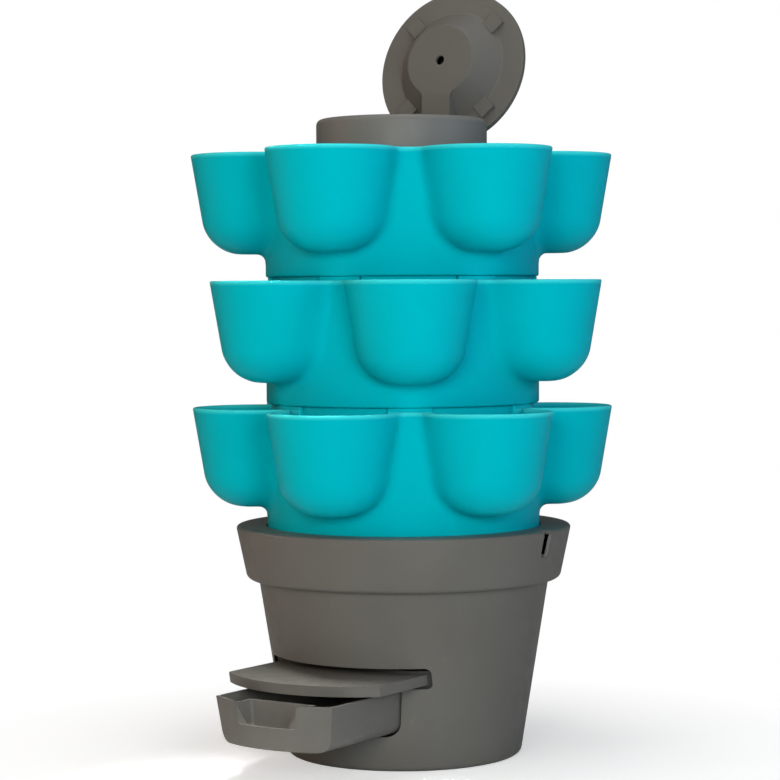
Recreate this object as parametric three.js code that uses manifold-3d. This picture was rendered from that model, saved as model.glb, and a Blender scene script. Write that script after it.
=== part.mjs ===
// A vertical planter tower: three stacked tiers of six planting cups round a perforated compost
// column, on a pot-shaped base with a sliding outlet gate and a drawer, under a collar with a lid.
// Millimetres, +Z up. The origin is on the tower's axis, on the ground. The drawer faces -Y.

import * as THREE from 'three';
import { mergeVertices } from 'three/addons/utils/BufferGeometryUtils.js';
import Module from 'manifold-3d';

const wasm = await Module();
wasm.setup();

// Driving dimensions

const seatGap = 0.3;
const overrun = 60;
const tierCount = 3;
const cupCount = 6;
const stackTurn = THREE.MathUtils.degToRad(6);
const collarTurn = THREE.MathUtils.degToRad(3.4);

const tierHeight = 175;
const tierJointGap = 5.4;
const tierWall = 4;
const coreRadius = 196;
const cupReach = 15;
const cupRimRadius = 91.8;
const cupFloorHeight = 33.2;
const cupTaperShare = 0.17;
const cupCornerRadius = 46;
const blendRadius = 13;
const rimRound = 3;
const footRound = 3;

const shelfWidth = 8;
const shelfThickness = 4;
const shelfFillet = 8;
const spigotInset = 1;
const spigotWall = 3;
const spigotDepth = 14;
const spigotClearance = 1.5;
const saddleLip = 3;
const saddleDepth = 16;
const saddleHalfAngle = THREE.MathUtils.degToRad(9.3);
const notchHalfAngle = THREE.MathUtils.degToRad(11.1);

const deckThickness = 4.8;
const deckClearance = 1.5;
const deckDishWall = 3.5;
const deckDishDepth = 17;
const deckSleeveHeight = 24;
const deckSleeveWall = 4;
const drainRingInset = 34.5;
const drainHoleRadius = 5;
const drainHoleCount = 8;

const baseHeight = 329.3;
const baseTaperShare = 0.16;
const baseWall = 5;
const baseFootRound = 10;
const bandHeight = 76;
const bandFlare = 16;
const bandStep = 16.4;
const bandFootRound = 9;
const bandTopRound = 4;
const ledgeWidth = 40.2;
const rebateClearance = 5;
const rebateShelf = 5;
const rimSlotWidth = 21;
const rimSlotDepth = 37;
const rimSlotReach = 14;
const rimSlotRound = 7;
const skirtRecess = 5.3;

const columnRadius = 116;
const columnWall = 4;
const columnSpigotWall = 3;
const columnSpigotDepth = 12;
const columnSpigotGap = 1.6;
const slotsPerRow = 6;
const slotRowsPerColumn = 2;
const columnSlotWidth = 16;
const columnSlotHeight = 44;

const collarRise = 50.2;
const collarDepth = 75;
const collarTopRound = 8.6;
const collarSkirtGap = 0.8;
const collarSkirtWall = 5.6;
const collarWall = 9.4;
const collarMouthLip = 7;
const collarLipThickness = 5;
const collarShoulderDepth = 35;

const lidEdgeInset = 4;
const lidEdgeHeight = 10.6;
const lidEdgeRound = 3;
const lidWall = 5;
const lidPlugGap = 22;
const lidPlugSlope = 30;
const lidBossDrop = 37;
const lidBossRound = 4;
const lidVentRadius = 6.9;
const lidOpenAngle = THREE.MathUtils.degToRad(103.4);
const tabInset = 27.4;
const tabLength = 24;
const tabWidth = 24;
const tabDrop = 7;

const pinRadius = 3;
const pinInset = 13.1;
const pinDrop = 17;
const pinClearance = 0.3;
const knuckleRadius = 9.5;
const tongueWidth = 46.6;
const tongueFillet = 14;
const hingeNotchClearance = 3;
const hingeNotchDepth = 33;
const earThickness = 9;
const earLength = 17;
const earHeight = 25;

const gateHalfWidth = 125;
const gateBottom = 123;
const gateThickness = 14.5;
const gateLength = 313;
const gateOut = 111;
const gateSkin = 4;
const gateEdgeWall = 8;
const gateRibCount = 3;
const gateCornerRound = 5;
const gateTopGap = 9.5;
const gateSideGap = 8;
const gateUnderGap = 5;
const openingRound = 7;

const guideThickness = 5;
const guideRailWidth = 9;
const guideSideGap = 0.6;
const guideWallGap = 0.5;
const outletPlateReach = 150;

const drawerHalfWidth = 95.5;
const drawerHeight = 62.5;
const drawerTopGap = 1.6;
const drawerLength = 312;
const drawerWall = 4.5;
const drawerCornerRound = 18;
const drawerTaperShare = 0.12;
const drawerOpeningGap = 3.5;
const drawerOut = 162;
const gripHalfWidth = 51;
const gripDepth = 31.5;
const gripReach = 44;
const gripWallDrop = 3.5;
const gripFloorDrop = 8;
const gripRound = 8;
const gripEntryRound = 6;

const runnerWidth = 7;
const runnerFlangeWidth = 34;
const runnerFlangeThickness = 5;
const runnerLipHeight = 7;
const runnerLipWidth = 4;
const runnerLength = 232;
const runnerSideGap = 0.6;

// Facet counts

const baseSegments = 40;
const deckSegments = 32;
const drainSegments = 8;
const roundSegments = 24;
const smallSegments = 14;
const pinSegments = 12;
const arcSteps = 2;
const tierColumnAngles = [-30, -24.5, -17.5, -9, 0, 9, 17.5, 24.5];
const tierOuterRays = [12, 27, 35, 42, 49, 56];
const tierInnerRays = [52, 44, 35, 24];

// Worked out from the driving dimensions

const TURN = Math.PI * 2;
const cupPitch = TURN / cupCount;
const tierPitch = tierHeight + tierJointGap;
const cupCentreRadius = coreRadius + cupReach;
const cupDepth = tierHeight - cupFloorHeight;
const shelfInnerRadius = coreRadius - tierWall - shelfWidth;
const spigotInnerRadius = shelfInnerRadius + spigotInset;
const spigotOuterRadius = spigotInnerRadius + spigotWall;
const saddleInnerRadius = shelfInnerRadius - saddleLip;

const deckDishRadius = spigotOuterRadius + spigotClearance;
const drainRadius = deckDishRadius - drainRingInset;
const boreRadius = deckDishRadius + deckDishWall + deckClearance;
const rebateRadius = coreRadius + rebateClearance;
const deckFlangeRadius = rebateRadius - deckClearance;

const bandTopRadius = rebateRadius + ledgeWidth;
const bandFootRadius = bandTopRadius - bandFlare;
const bandBottom = baseHeight - bandHeight;
const baseFootRadius = bandFootRadius - bandStep - baseTaperShare * bandBottom;

const stackBottom = baseHeight - skirtRecess;
const stackTop = stackBottom + tierCount * tierPitch - tierJointGap;
const deckTop = stackBottom - seatGap;
const baseShelfTop = deckTop - deckThickness - seatGap;
const deckFloorTop = deckTop - deckDishDepth;
const deckFloorBottom = deckFloorTop - deckDishWall;

const collarTop = stackTop + collarRise;
const collarSkirtRadius = columnRadius + collarSkirtGap;
const collarRadius = collarSkirtRadius + collarSkirtWall;
const collarMouthRadius = collarRadius - collarWall - collarMouthLip;
const columnInnerRadius = columnRadius - columnWall;
const columnBottom = deckFloorTop + seatGap;
const columnTop = collarTop - collarShoulderDepth - seatGap;
const columnPitch = (columnTop + seatGap - columnBottom) / tierCount;

const lidRadius = collarRadius - lidEdgeInset;
const lidPlugRadius = collarMouthRadius - lidPlugGap;
const lidBossRadius = lidPlugRadius - lidPlugSlope;
const tabCentreRadius = lidRadius - tabInset;
const pinBack = collarRadius - pinInset;
const pinHeight = collarTop + seatGap - pinDrop;

const gateTop = gateBottom + gateThickness;
const guideHalfWidth = gateHalfWidth + guideSideGap + guideRailWidth;
const guideShelfBottom = gateBottom - seatGap - guideThickness;
const outletBottom = gateTop + seatGap;
const outletTop = outletBottom + guideThickness;
const drawerTop = guideShelfBottom - drawerTopGap;
const drawerBottom = drawerTop - drawerHeight;

const teal = new THREE.MeshStandardMaterial({ color: 0x00b2be, roughness: 0.42, metalness: 0 });
const grey = new THREE.MeshStandardMaterial({ color: 0x67655e, roughness: 0.55, metalness: 0 });
const darkGrey = new THREE.MeshStandardMaterial({ color: 0x4a4945, roughness: 0.6, metalness: 0 });
const steel = new THREE.MeshStandardMaterial({ color: 0xa9abad, roughness: 0.35, metalness: 1 });

// Solids

function solidOf(geometry) {
  const bare = geometry.clone();
  bare.deleteAttribute('normal');
  bare.deleteAttribute('uv');
  const merged = mergeVertices(bare, 1e-4);
  const positions = merged.attributes.position.array;
  const index = merged.index.array;
  const triangles = [];
  let volume = 0;
  const corners = [new THREE.Vector3(), new THREE.Vector3(), new THREE.Vector3()];
  for (let i = 0; i < index.length; i += 3) {
    const [a, b, c] = [index[i], index[i + 1], index[i + 2]];
    if (a === b || b === c || c === a) continue;
    triangles.push(a, b, c);
    corners[0].fromArray(positions, a * 3);
    corners[1].fromArray(positions, b * 3);
    corners[2].fromArray(positions, c * 3);
    volume += corners[0].dot(corners[1].cross(corners[2]));
  }
  if (volume < 0) triangles.reverse();
  const vertProperties = new Float32Array(positions);
  const triVerts = new Uint32Array(triangles);
  return new wasm.Manifold(new wasm.Mesh({ numProp: 3, vertProperties, triVerts }));
}

function geometryOf(solid) {
  const mesh = solid.getMesh();
  const geometry = new THREE.BufferGeometry();
  geometry.setAttribute('position', new THREE.BufferAttribute(new Float32Array(mesh.vertProperties), 3));
  geometry.setIndex(new THREE.BufferAttribute(new Uint32Array(mesh.triVerts), 1));
  geometry.computeVertexNormals();
  return geometry;
}

function union(solids) {
  return solids.reduce((whole, solid) => whole.add(solid));
}

function difference(solid, cutters) {
  return cutters.reduce((rest, cutter) => rest.subtract(cutter), solid);
}

// Rounds each corner [x, y, radius] of a closed outline and returns its points.
function roundedOutline(corners) {
  const points = [];
  const count = corners.length;
  corners.forEach(([x, y, radius = 0], index) => {
    const corner = new THREE.Vector2(x, y);
    if (radius === 0) {
      points.push(corner);
      return;
    }
    const previous = corners[(index + count - 1) % count];
    const next = corners[(index + 1) % count];
    const toPrevious = new THREE.Vector2(previous[0] - x, previous[1] - y).normalize();
    const toNext = new THREE.Vector2(next[0] - x, next[1] - y).normalize();
    const halfAngle = Math.acos(toPrevious.dot(toNext)) / 2;
    const reach = radius / Math.tan(halfAngle);
    const start = corner.clone().addScaledVector(toPrevious, reach);
    const end = corner.clone().addScaledVector(toNext, reach);
    const bisector = toPrevious.clone().add(toNext).normalize();
    const centre = corner.clone().addScaledVector(bisector, radius / Math.sin(halfAngle));
    const startAngle = Math.atan2(start.y - centre.y, start.x - centre.x);
    const turn = Math.atan2(end.y - centre.y, end.x - centre.x) - startAngle;
    const sweep = turn - TURN * Math.round(turn / TURN);
    for (let step = 0; step <= arcSteps; step += 1) {
      const angle = startAngle + (sweep * step) / arcSteps;
      const spoke = new THREE.Vector2(Math.cos(angle), Math.sin(angle));
      points.push(centre.clone().addScaledVector(spoke, radius));
    }
  });
  return points;
}

// Turns an outline of [radius, height, rounding] corners about the tower's axis. The outline
// closes on itself, or starts and ends on the axis.
function revolved(corners, segments = roundSegments) {
  const points = roundedOutline(corners);
  if (points[0].x > 0) points.push(points[0].clone());
  return solidOf(new THREE.LatheGeometry(points, segments).rotateX(Math.PI / 2));
}

// Extrudes an outline of [x, y, rounding] corners upwards from one height to another.
function prism(corners, bottom, top) {
  const shape = new THREE.Shape(roundedOutline(corners));
  const depth = top - bottom;
  return solidOf(new THREE.ExtrudeGeometry(shape, { depth, bevelEnabled: false }).translate(0, 0, bottom));
}

// Extrudes an outline of [x, z, rounding] corners along Y from front to back.
function prismAlongY(corners, front, back) {
  const shape = new THREE.Shape(roundedOutline(corners));
  const geometry = new THREE.ExtrudeGeometry(shape, { depth: back - front, bevelEnabled: false });
  return solidOf(geometry.rotateX(Math.PI / 2).translate(0, back, 0));
}

// Extrudes an outline of [y, z, rounding] corners along X, centred on the middle plane.
function prismAlongX(corners, width) {
  const shape = new THREE.Shape(roundedOutline(corners));
  const geometry = new THREE.ExtrudeGeometry(shape, { depth: width, bevelEnabled: false });
  geometry.rotateZ(Math.PI / 2).rotateY(Math.PI / 2);
  return solidOf(geometry.translate(-width / 2, 0, 0));
}

function rectangle(left, right, low, high, round = 0) {
  return [[left, low, round], [right, low, round], [right, high, round], [left, high, round]];
}

function rodAlongX(radius, length, y, z, segments) {
  const geometry = new THREE.CylinderGeometry(radius, radius, length, segments);
  return solidOf(geometry.rotateZ(Math.PI / 2).translate(0, y, z));
}

// A part of a ring between two angles, from one height to another.
function ringSector(inner, outer, bottom, top, middleAngle, halfAngle, segments) {
  const shape = new THREE.Shape();
  shape.absarc(0, 0, outer, middleAngle - halfAngle, middleAngle + halfAngle, false);
  shape.absarc(0, 0, inner, middleAngle + halfAngle, middleAngle - halfAngle, true);
  const options = { depth: top - bottom, bevelEnabled: false, curveSegments: segments };
  return solidOf(new THREE.ExtrudeGeometry(shape, options).translate(0, 0, bottom));
}

function turnedAboutAxis(solid, angle) {
  return solid.rotate([0, 0, THREE.MathUtils.radToDeg(angle)]);
}

function mesh(name, solid, material) {
  const piece = new THREE.Mesh(geometryOf(solid), material);
  piece.name = name;
  return piece;
}

// The base pot's outside is a cone below its band.
function baseRadiusAt(height) {
  return baseFootRadius + baseTaperShare * height;
}

function baseCone(offset, bottom, top, segments = baseSegments) {
  const low = baseRadiusAt(bottom) + offset;
  const high = baseRadiusAt(top) + offset;
  return revolved([[0, bottom], [low, bottom], [high, top], [0, top]], segments);
}

// The drawer's sides lean inwards towards its bottom.
function drawerHalfWidthAt(height) {
  return drawerHalfWidth - drawerTaperShare * (drawerTop - height);
}

// The drawer's section, shrunk by the given inset, with its bottom raised by it.
function drawerOutline(inset, bottom, top) {
  const low = bottom + inset;
  const lowHalf = drawerHalfWidthAt(low) - inset;
  const highHalf = drawerHalfWidthAt(top) - inset;
  const round = drawerCornerRound - inset;
  return [[-lowHalf, low, round], [lowHalf, low, round], [highHalf, top], [-highHalf, top]];
}

// The grip's section, which leans inwards as the drawer does, grown by the given margin.
function gripOutline(margin, bottom, top, round) {
  const halfAt = (height) => gripHalfWidth + margin - drawerTaperShare * (drawerTop - height);
  return [
    [-halfAt(bottom), bottom, round],
    [halfAt(bottom), bottom, round],
    [halfAt(top), top],
    [-halfAt(top), top],
  ];
}

// Tiers

// Distance from the outside of a round tapered cup to a point, negative inside the cup.
function cupDistance(radius, depth) {
  const slope = Math.hypot(1, cupTaperShare);
  const pastWall = (radius - cupRimRadius + cupTaperShare * depth) / slope + cupCornerRadius;
  const pastFloor = depth - cupDepth + cupCornerRadius;
  const corner = Math.hypot(Math.max(pastWall, 0), Math.max(pastFloor, 0));
  return Math.min(Math.max(pastWall, pastFloor), 0) + corner - cupCornerRadius;
}

// Joins two distances with a round fillet between their surfaces.
function filleted(first, second) {
  const corner = Math.hypot(Math.max(blendRadius - first, 0), Math.max(blendRadius - second, 0));
  return Math.max(blendRadius, Math.min(first, second)) - corner;
}

// Distance from the tier's outer skin to a point given by radius, angle and height.
function tierDistance(radius, angle, height) {
  const nearest = Math.round(angle / cupPitch) * cupPitch;
  let distance = radius - coreRadius;
  for (const cupAngle of [nearest, nearest - cupPitch, nearest + cupPitch]) {
    const across = radius * Math.cos(angle - cupAngle) - cupCentreRadius;
    const along = radius * Math.sin(angle - cupAngle);
    const cup = cupDistance(Math.hypot(across, along), tierHeight - height);
    distance = filleted(distance, cup);
  }
  return distance;
}

// Walks from a point inside the tier until the skin is passed by the given offset.
function reach(startRadius, startHeight, drop, angle, offset) {
  let near = 0;
  let far = cupCentreRadius + cupRimRadius;
  for (let step = 0; step < 40; step += 1) {
    const middle = (near + far) / 2;
    const radius = startRadius + middle * Math.cos(drop);
    const height = startHeight - middle * Math.sin(drop);
    if (tierDistance(radius, angle, height) < offset) near = middle;
    else far = middle;
  }
  return [startRadius + near * Math.cos(drop), startHeight - near * Math.sin(drop)];
}

// The closed outline of the tier's wall in the half plane at one angle.
function tierOutline(angle) {
  const pivot = columnRadius;
  const level = (height, offset) => reach(pivot, height, 0, angle, offset);
  const ray = (degrees, offset) => {
    const drop = THREE.MathUtils.degToRad(degrees);
    return reach(pivot, tierHeight, drop, angle, offset);
  };
  const outer = tierOuterRays.map((degrees) => ray(degrees, 0));
  const inner = tierInnerRays.map((degrees) => ray(degrees, -tierWall));
  const rimCut = rimRound * (1 - Math.SQRT1_2);
  return [
    level(tierHeight, -rimRound),
    level(tierHeight - rimCut, -rimCut),
    level(tierHeight - rimRound, 0),
    ...outer,
    [coreRadius, footRound],
    [coreRadius - footRound, 0],
    [shelfInnerRadius, 0],
    [shelfInnerRadius, shelfThickness],
    [coreRadius - tierWall, shelfThickness + shelfFillet],
    ...inner,
    level(tierHeight, -tierWall),
  ];
}

function tierShell() {
  const angles = [];
  for (let cup = 0; cup < cupCount; cup += 1) {
    tierColumnAngles.forEach((degrees) => angles.push(cup * cupPitch + THREE.MathUtils.degToRad(degrees)));
  }
  const outlines = angles.map(tierOutline);
  const rows = outlines[0].length;
  const positions = [];
  outlines.forEach((outline, column) => {
    outline.forEach(([radius, height]) => {
      positions.push(radius * Math.cos(angles[column]), radius * Math.sin(angles[column]), height);
    });
  });
  const index = [];
  for (let column = 0; column < angles.length; column += 1) {
    const next = (column + 1) % angles.length;
    for (let row = 0; row < rows; row += 1) {
      const after = (row + 1) % rows;
      const [a, b] = [column * rows + row, next * rows + row];
      const [c, d] = [next * rows + after, column * rows + after];
      index.push(a, c, b, a, d, c);
    }
  }
  const geometry = new THREE.BufferGeometry();
  geometry.setAttribute('position', new THREE.Float32BufferAttribute(positions, 3));
  geometry.setIndex(index);
  return solidOf(geometry);
}

// One tier with its skirt's bottom at zero and a cup centred on +X. Six saddles between the cups
// carry the next tier, and six notches in the spigot below drop over the saddles of the tier under it.
function tierSolid() {
  const solids = [tierShell()];
  const saddleTop = tierPitch - seatGap;
  const saddleBottom = tierHeight - saddleDepth;
  const spigotHalfAngle = cupPitch / 2 - notchHalfAngle;
  for (let cup = 0; cup < cupCount; cup += 1) {
    const valley = (cup + 0.5) * cupPitch;
    solids.push(ringSector(saddleInnerRadius, coreRadius - footRound, saddleBottom, saddleTop,
      valley, saddleHalfAngle, 2));
    solids.push(ringSector(spigotInnerRadius, spigotOuterRadius, -spigotDepth, shelfThickness / 2,
      valley, spigotHalfAngle, 4));
  }
  return union(solids);
}

// Base

function basePot() {
  const bandSlopeShare = bandFlare / bandHeight;
  const bandInside = (height) => bandFootRadius + bandSlopeShare * (height - bandBottom) - baseWall;
  const shoulder = baseRadiusAt(bandBottom);
  const ledgeUnder = baseHeight - baseWall;
  const shelfUnder = baseShelfTop - rebateShelf;
  const pot = revolved([
    [0, 0],
    [baseFootRadius, 0, baseFootRound],
    [shoulder, bandBottom],
    [bandFootRadius, bandBottom, bandFootRound],
    [bandTopRadius, baseHeight, bandTopRound],
    [rebateRadius, baseHeight],
    [rebateRadius, baseShelfTop],
    [boreRadius, baseShelfTop],
    [boreRadius, shelfUnder],
    [rebateRadius + baseWall, shelfUnder],
    [rebateRadius + baseWall, ledgeUnder],
    [bandInside(ledgeUnder), ledgeUnder],
    [bandInside(bandBottom + baseWall) - bandFootRound / 2, bandBottom + baseWall],
    [baseRadiusAt(bandBottom + baseWall) - baseWall, bandBottom + baseWall],
    [baseRadiusAt(baseWall) - baseWall, baseWall, baseFootRound - baseWall],
    [0, baseWall],
  ], baseSegments);
  const gateOpening = rectangle(
    -gateHalfWidth - gateSideGap, gateHalfWidth + gateSideGap,
    gateBottom - gateUnderGap, gateTop + gateTopGap, openingRound,
  );
  const drawerOpening = drawerOutline(-drawerOpeningGap, drawerBottom, gateTop);
  const front = -baseRadiusAt(gateTop) - overrun;
  const rimSlots = [-1, 1].map((side) => {
    const half = rimSlotWidth / 2;
    const outline = [
      [-half, baseHeight - rimSlotDepth, rimSlotRound],
      [half, baseHeight - rimSlotDepth, rimSlotRound],
      [half, baseHeight + overrun],
      [-half, baseHeight + overrun],
    ];
    const cutter = prismAlongY(outline, bandTopRadius - rimSlotReach, bandTopRadius + overrun);
    return turnedAboutAxis(cutter, (side * Math.PI) / 2);
  });
  return difference(pot, [
    prismAlongY(gateOpening, front, -gateHalfWidth / 2),
    prismAlongY(drawerOpening, front, -gateHalfWidth / 2),
    ...rimSlots,
  ]);
}

// The shelf under the gate fills the pot's width and carries the gate between two side rails.
function gateShelf() {
  const inside = -baseWall - guideWallGap;
  const disc = baseCone(inside, guideShelfBottom, gateBottom - seatGap);
  const railBlank = baseCone(inside, guideShelfBottom, gateTop);
  const railInner = gateHalfWidth + guideSideGap;
  const long = baseRadiusAt(gateTop);
  const rails = [-1, 1].map((side) => {
    const edges = [side * railInner, side * guideHalfWidth].sort((a, b) => a - b);
    const strip = prism(rectangle(edges[0], edges[1], -long, long), guideShelfBottom, gateTop);
    return railBlank.intersect(strip);
  });
  const mouth = revolved([
    [0, guideShelfBottom - overrun],
    [columnInnerRadius, guideShelfBottom - overrun],
    [columnInnerRadius, gateTop + overrun],
    [0, gateTop + overrun],
  ]);
  return union([disc, ...rails]).subtract(mouth);
}

// The outlet plate lies over the gate on the rails and takes the foot of the compost column.
function outletPlate() {
  const inside = -baseWall - guideWallGap;
  const long = baseRadiusAt(outletTop);
  const plan = rectangle(-guideHalfWidth, guideHalfWidth, -outletPlateReach, long);
  const strip = prism(plan, outletBottom, outletTop);
  const plate = baseCone(inside, outletBottom, outletTop).intersect(strip);
  const mouth = revolved([
    [0, outletBottom - overrun],
    [columnInnerRadius, outletBottom - overrun],
    [columnInnerRadius, outletTop + overrun],
    [0, outletTop + overrun],
  ]);
  const sleeveInner = columnRadius + seatGap + seatGap;
  const sleeve = revolved(rectangle(sleeveInner, sleeveInner + deckSleeveWall,
    outletTop - guideThickness / 2, outletTop + deckSleeveHeight / 2));
  return plate.subtract(mouth).add(sleeve);
}

function columnFoot() {
  return revolved(rectangle(columnInnerRadius, columnRadius, outletTop + seatGap,
    deckFloorBottom - seatGap));
}

function drawerRunner(side) {
  const flangeTop = drawerBottom - seatGap;
  const inner = drawerHalfWidthAt(flangeTop + runnerLipHeight) + runnerSideGap + runnerLipWidth;
  const outline = [
    [inner, baseWall + seatGap],
    [inner, flangeTop + runnerLipHeight],
    [inner - runnerLipWidth, flangeTop + runnerLipHeight],
    [inner - runnerLipWidth, flangeTop],
    [inner - runnerFlangeWidth, flangeTop],
    [inner - runnerFlangeWidth, flangeTop - runnerFlangeThickness],
    [inner - runnerWidth, flangeTop - runnerFlangeThickness],
    [inner - runnerWidth, baseWall + seatGap],
  ];
  const mirrored = side > 0 ? outline : outline.map(([x, z]) => [-x, z]).reverse();
  const blank = prismAlongY(mirrored, -runnerLength / 2, runnerLength / 2);
  return blank.intersect(baseCone(-baseWall - guideWallGap, 0, gateBottom));
}

// Drawer and gate, drawn closed

// The drawer's front is a piece of the pot's own cone. The grip is a pocket behind a cut-out.
function drawerSolid() {
  const back = drawerLength - baseRadiusAt(drawerTop);
  const front = -baseRadiusAt(drawerTop) - overrun;
  const outside = prismAlongY(drawerOutline(0, drawerBottom, drawerTop), front, back)
    .intersect(baseCone(0, 0, baseHeight));
  const frontSkin = baseCone(-drawerWall, 0, baseHeight);
  const high = drawerTop + overrun;
  const inside = prismAlongY(drawerOutline(drawerWall, drawerBottom, high), front, back - drawerWall)
    .intersect(frontSkin);
  const gripBack = gripReach - baseRadiusAt(drawerTop);
  const gripFloor = drawerTop - gripDepth - gripFloorDrop;
  const gripHousing = prismAlongY(
    gripOutline(drawerWall, gripFloor - drawerWall, drawerTop - gripWallDrop, gripRound + drawerWall),
    front, gripBack + drawerWall,
  );
  const pocketPlan = rectangle(-gripHalfWidth, gripHalfWidth, front, gripBack, gripRound);
  const gripPocket = prismAlongY(gripOutline(0, gripFloor, high, gripRound), front, gripBack)
    .intersect(frontSkin)
    .intersect(prism(pocketPlan, drawerBottom, high));
  const gripCut = prismAlongY([
    ...gripOutline(0, drawerTop - gripDepth, drawerTop, gripRound).slice(0, 2),
    [gripHalfWidth, drawerTop, gripEntryRound],
    [gripHalfWidth + overrun, drawerTop],
    [gripHalfWidth + overrun, high],
    [-gripHalfWidth - overrun, high],
    [-gripHalfWidth - overrun, drawerTop],
    [-gripHalfWidth, drawerTop, gripEntryRound],
  ], front, -baseRadiusAt(drawerTop) + drawerWall + gripRound);
  return difference(outside, [inside.subtract(gripHousing), gripPocket, gripCut]);
}

// The gate is a flat plate, hollow and ribbed below, with its front edge on the pot's cone.
function gateSolid() {
  const back = gateLength - baseRadiusAt(gateTop);
  const front = -baseRadiusAt(gateTop) - overrun;
  const radius = baseRadiusAt(gateTop);
  const corner = -Math.sqrt(radius ** 2 - gateHalfWidth ** 2);
  const plan = [
    [gateHalfWidth, back, gateEdgeWall],
    [-gateHalfWidth, back, gateEdgeWall],
    [-gateHalfWidth, corner, gateCornerRound],
    [0, radius ** 2 / corner],
    [gateHalfWidth, corner, gateCornerRound],
  ];
  const plate = prism(plan, gateBottom, gateTop);
  const shaped = plate.intersect(baseCone(0, 0, baseHeight));
  const hollowHeight = gateTop - gateSkin;
  const hollowWidth = 2 * (gateHalfWidth - gateEdgeWall);
  const bay = (hollowWidth - gateRibCount * gateSkin) / (gateRibCount + 1);
  const hollowFront = baseCone(-gateEdgeWall, 0, baseHeight);
  const bays = [];
  for (let rib = 0; rib <= gateRibCount; rib += 1) {
    const left = -hollowWidth / 2 + rib * (bay + gateSkin);
    const bayPlan = rectangle(left, left + bay, front, back - gateEdgeWall);
    const block = prism(bayPlan, gateBottom - overrun, hollowHeight);
    bays.push(block.intersect(hollowFront));
  }
  return difference(shaped, bays);
}

// Deck and compost column

function deckSolid() {
  const dishOuter = deckDishRadius + deckDishWall;
  const sleeveInner = columnRadius + 2 * seatGap;
  const sleeveOuter = sleeveInner + deckSleeveWall;
  const deck = revolved([
    [columnInnerRadius, deckFloorBottom],
    [dishOuter, deckFloorBottom],
    [dishOuter, deckTop - deckThickness],
    [deckFlangeRadius, deckTop - deckThickness],
    [deckFlangeRadius, deckTop],
    [deckDishRadius, deckTop],
    [deckDishRadius, deckFloorTop],
    [sleeveOuter, deckFloorTop],
    [sleeveOuter, deckFloorTop + deckSleeveHeight],
    [sleeveInner, deckFloorTop + deckSleeveHeight],
    [sleeveInner, deckFloorTop],
    [columnInnerRadius, deckFloorTop],
  ], deckSegments);
  const holes = [];
  for (let hole = 0; hole < drainHoleCount; hole += 1) {
    const angle = (hole * TURN) / drainHoleCount;
    const geometry = new THREE.CylinderGeometry(drainHoleRadius, drainHoleRadius, overrun, drainSegments);
    geometry.rotateX(Math.PI / 2).translate(drainRadius * Math.cos(angle), drainRadius * Math.sin(angle),
      deckFloorBottom);
    holes.push(solidOf(geometry));
  }
  return difference(deck, holes);
}

// One length of the compost column: a perforated tube with a spigot at its lower end.
function columnSolid() {
  const spigotOuter = columnInnerRadius - columnSpigotGap;
  const spigotInner = spigotOuter - columnSpigotWall;
  const top = columnPitch - seatGap;
  const tube = revolved([
    [spigotInner, -columnSpigotDepth],
    [spigotOuter, -columnSpigotDepth],
    [spigotOuter, 0],
    [columnRadius, 0],
    [columnRadius, top],
    [columnInnerRadius, top],
    [columnInnerRadius, columnSpigotDepth],
    [spigotInner, columnWall],
  ]);
  const cuts = [];
  const rowPitch = top / slotRowsPerColumn;
  for (let row = 0; row < slotRowsPerColumn; row += 1) {
    const middle = (row + 0.5) * rowPitch + columnWall;
    for (let pair = 0; pair < slotsPerRow / 2; pair += 1) {
      const outline = rectangle(-columnSlotWidth / 2, columnSlotWidth / 2,
        middle - columnSlotHeight / 2, middle + columnSlotHeight / 2);
      const cutter = prismAlongY(outline, -columnRadius - overrun, columnRadius + overrun);
      cuts.push(turnedAboutAxis(cutter, ((pair + row / 2) * TURN) / slotsPerRow));
    }
  }
  return difference(tube, cuts);
}

// Collar and lid

// The collar sleeves over the column's top. Its back is notched for the lid's tongue, and two ears
// beside the notch hold the hinge pin.
function collarSolid() {
  const bottom = collarTop - collarDepth;
  const shoulder = collarTop - collarShoulderDepth;
  const ring = revolved([
    [collarSkirtRadius, bottom],
    [collarRadius, bottom],
    [collarRadius, collarTop, collarTopRound],
    [collarMouthRadius, collarTop],
    [collarMouthRadius, collarTop - collarLipThickness],
    [collarRadius - collarWall, collarTop - collarLipThickness],
    [collarRadius - collarWall, shoulder],
    [collarSkirtRadius, shoulder],
  ], baseSegments);
  const notchHalf = tongueWidth / 2 + hingeNotchClearance;
  const earBack = pinBack + earLength / 3;
  const earTop = collarTop - collarLipThickness / 2;
  const ears = [-1, 1].map((side) => {
    const edges = [side * notchHalf, side * (notchHalf + earThickness)].sort((a, b) => a - b);
    return prism(rectangle(edges[0], edges[1], earBack - earLength, earBack), earTop - earHeight, earTop);
  });
  const notch = prism(
    rectangle(-notchHalf, notchHalf, collarMouthRadius - overrun, collarRadius + overrun),
    collarTop - hingeNotchDepth, collarTop + overrun,
  );
  const pinLength = 2 * (notchHalf + earThickness) + seatGap;
  const pinBore = rodAlongX(pinRadius + pinClearance, pinLength, pinBack, pinHeight, pinSegments);
  return difference(union([ring, ...ears]), [notch, pinBore]);
}

// The hinge pin's centre is its own origin.
function hingePinSolid() {
  const notchHalf = tongueWidth / 2 + hingeNotchClearance;
  const half = notchHalf + earThickness - seatGap;
  return rodAlongX(pinRadius, 2 * half, 0, 0, pinSegments);
}

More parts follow.
